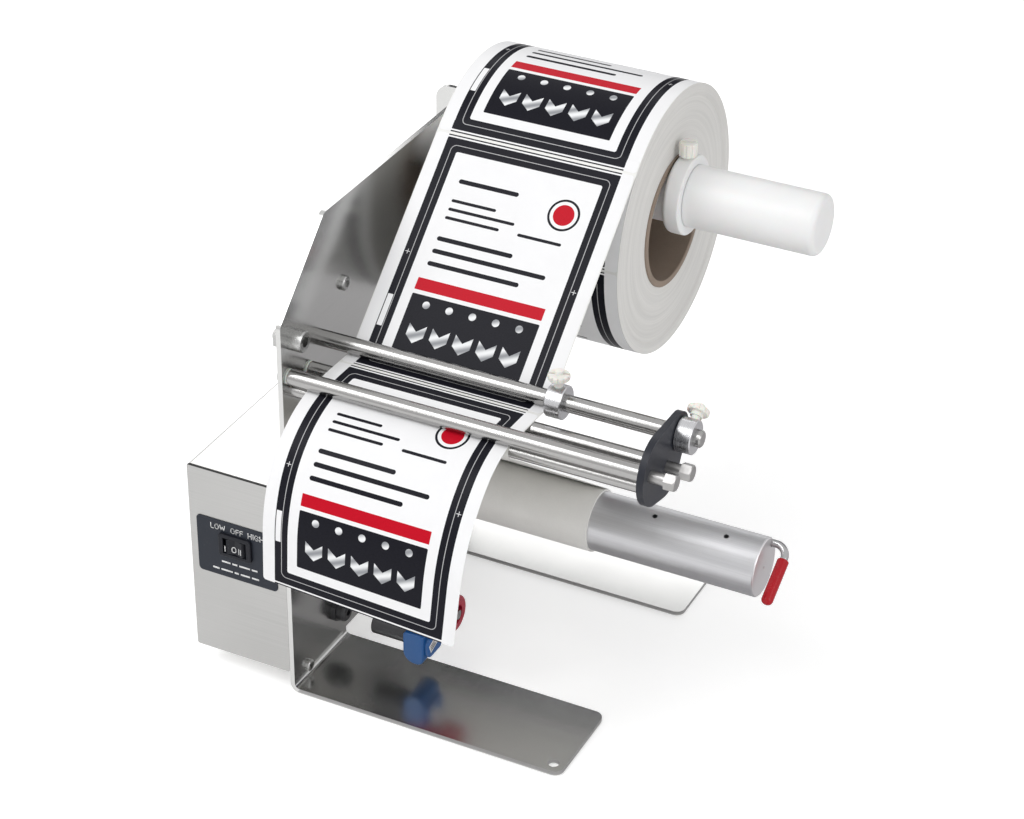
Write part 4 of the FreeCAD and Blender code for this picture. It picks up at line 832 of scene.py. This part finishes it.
PANEL_WORDS = (("LOW", -54.0), ("OFF", -40.0), ("HIGH", -28.0))
ROCKER_SIGNS = (("I", -43.4), ("O", -38.9), ("II", -34.2))
panel_words = [(text, left, WORDS_Z, WORDS_H) for text, left in PANEL_WORDS]
panel_rules = dashes(-47.5, 82.6, (6.0, 3.5, 7.5, 4.0)) + dashes(-54.0, 76.6, (4.5, 8.0, 3.0, 6.5, 5.0))
marks = stroke_marks("switch_words", on_panel, mark_white, panel_words, WORDS_W, panel_rules)
dress(marks, "frame", "white_plastic")
rocker_signs = [(text, left, SIGNS_Z, SIGNS_H) for text, left in ROCKER_SIGNS]
rocker_marks = stroke_marks("rocker_marks", on_rocker, mark_white, rocker_signs, SIGNS_W)
dress(rocker_marks, "rocker", "white_plastic")

# Small plate on the end of the sensor, with three rules on it
PLATE_AT, PLATE_TURN = (71.0, 46.8, 29.2), math.radians(20.0)
PLATE_HALF, PLATE_H = 4.6, 6.4
PLATE_THICK, INK_THICK = 0.1, 0.16


def on_sensor(u, v, w):
    c, n = math.cos(PLATE_TURN), math.sin(PLATE_TURN)
    return at(PLATE_AT[0] + w, PLATE_AT[1] + u * c - v * n, PLATE_AT[2] + u * n + v * c)


plate_rule = [(-PLATE_HALF, PLATE_HALF, 0.0, PLATE_H)]
plate = stroke_marks("sensor_plate", on_sensor, mark_white, rules=plate_rule, thick=PLATE_THICK)
dress(plate, "sensor", "white_plastic")
ink_rules = [(-3.6, 3.2, 1.7, 0.8), (-3.6, 1.6, 0.1, 0.8), (-3.6, 2.4, -1.5, 0.8)]
plate_ink = stroke_marks("sensor_plate_rules", on_sensor, mark_dark, rules=ink_rules, thick=INK_THICK)
dress(plate_ink, "sensor", "black_plastic")


# Stage and lights


def stage_plane(name, centre, size, facing, colour, seen=True, shades=True):
    """Rectangle of the stage, size[0] along X, that may be seen only in reflections."""
    mesh = bpy.data.meshes.new(name)
    u = Vector((size[0] / 2, 0, 0))
    w = Vector(facing).normalized().cross(Vector((1, 0, 0))).normalized() * size[1] / 2
    corners = [Vector(centre) + u * a + w * b for a, b in ((-1, -1), (1, -1), (1, 1), (-1, 1))]
    mesh.from_pydata([tuple(p) for p in corners], [], [(0, 1, 2, 3)])
    obj = bpy.data.objects.new(name, mesh)
    bpy.context.scene.collection.objects.link(obj)
    s = Shader(name + "_finish", Roughness=0.9)
    cloud = s.noise((3.0, 3.0, 3.0), 2.0)
    s.set("Base Color", s.tone(cloud, colour, 0.02))
    mesh.materials.append(s.mat)
    obj.visible_camera = obj.visible_diffuse = seen
    obj.visible_shadow = shades
    return s


def seen_directly(tree, otherwise, value):
    """The value for camera, glossy and transmission rays, and the other one for the rest."""
    path = tree.nodes.new("ShaderNodeLightPath")
    total = path.outputs["Is Camera Ray"]
    for ray in ("Is Glossy Ray", "Is Transmission Ray"):
        add = tree.nodes.new("ShaderNodeMath")
        add.operation = "MAXIMUM"
        tree.links.new(total, add.inputs[0])
        tree.links.new(path.outputs[ray], add.inputs[1])
        total = add.outputs[0]
    choice = tree.nodes.new("ShaderNodeMapRange")
    tree.links.new(total, choice.inputs[0])
    choice.inputs[3].default_value = otherwise
    choice.inputs[4].default_value = value
    return choice.outputs[0]


# Strength of the world's light, and the floor's own white where it is seen directly
AMBIENT = 0.55
FLOOR_LIFT = 0.34
floor_shader = stage_plane("floor", (0, 0, -0.0004), (14, 14), (0, 0, 1), (0.94, 0.94, 0.94))
floor_shader.bsdf.inputs["Emission Color"].default_value = (1.0, 1.0, 1.0, 1.0)
floor_shader.set("Emission Strength", seen_directly(floor_shader.tree, 0.0, FLOOR_LIFT))

world = bpy.data.worlds.new("studio")
bpy.context.scene.world = world
world.use_nodes = True
background = world.node_tree.nodes["Background"]
world.node_tree.links.new(seen_directly(world.node_tree, AMBIENT, 1.0), background.inputs["Strength"])
background.inputs["Color"].default_value = (1.0, 1.0, 1.0, 1.0)


def area_light(name, place, target, size, power):
    data = bpy.data.lights.new(name, "AREA")
    data.shape = "RECTANGLE"
    data.size, data.size_y = size
    data.energy = power
    obj = bpy.data.objects.new(name, data)
    bpy.context.scene.collection.objects.link(obj)
    obj.location = place
    obj.rotation_euler = (Vector(target) - Vector(place)).to_track_quat("-Z", "Y").to_euler()


area_light("key", (-0.9, -1.1, 1.7), (0, 0, 0.15), (1.2, 1.2), 20.0)
area_light("fill", (1.6, -0.5, 1.1), (0, 0, 0.15), (1.0, 1.4), 9.0)
area_light("rim", (-0.85, 1.65, 1.1), (0, 0, 0.1), (1.4, 1.0), 7.0)

# Cards that the metal reflects; the one at the back also shades the front foot from the rim lamp
stage_plane("grey_table", (0.63, 0.65, 0.0006), (1.6, 1.6), (0, 0, 1), (0.68, 0.67, 0.68), False, False)
stage_plane("dark_back", (-0.055, 0.45, 0.44), (0.71, 0.28), (0, -1, 0), (0.05, 0.05, 0.055), False)
stage_plane("dark_front", (0.1, -1.1, 1.15), (3.0, 0.16), (0, 1, -0.6), (0.03, 0.03, 0.03), False, False)

view = bpy.context.scene.view_settings
view.view_transform = "Standard"
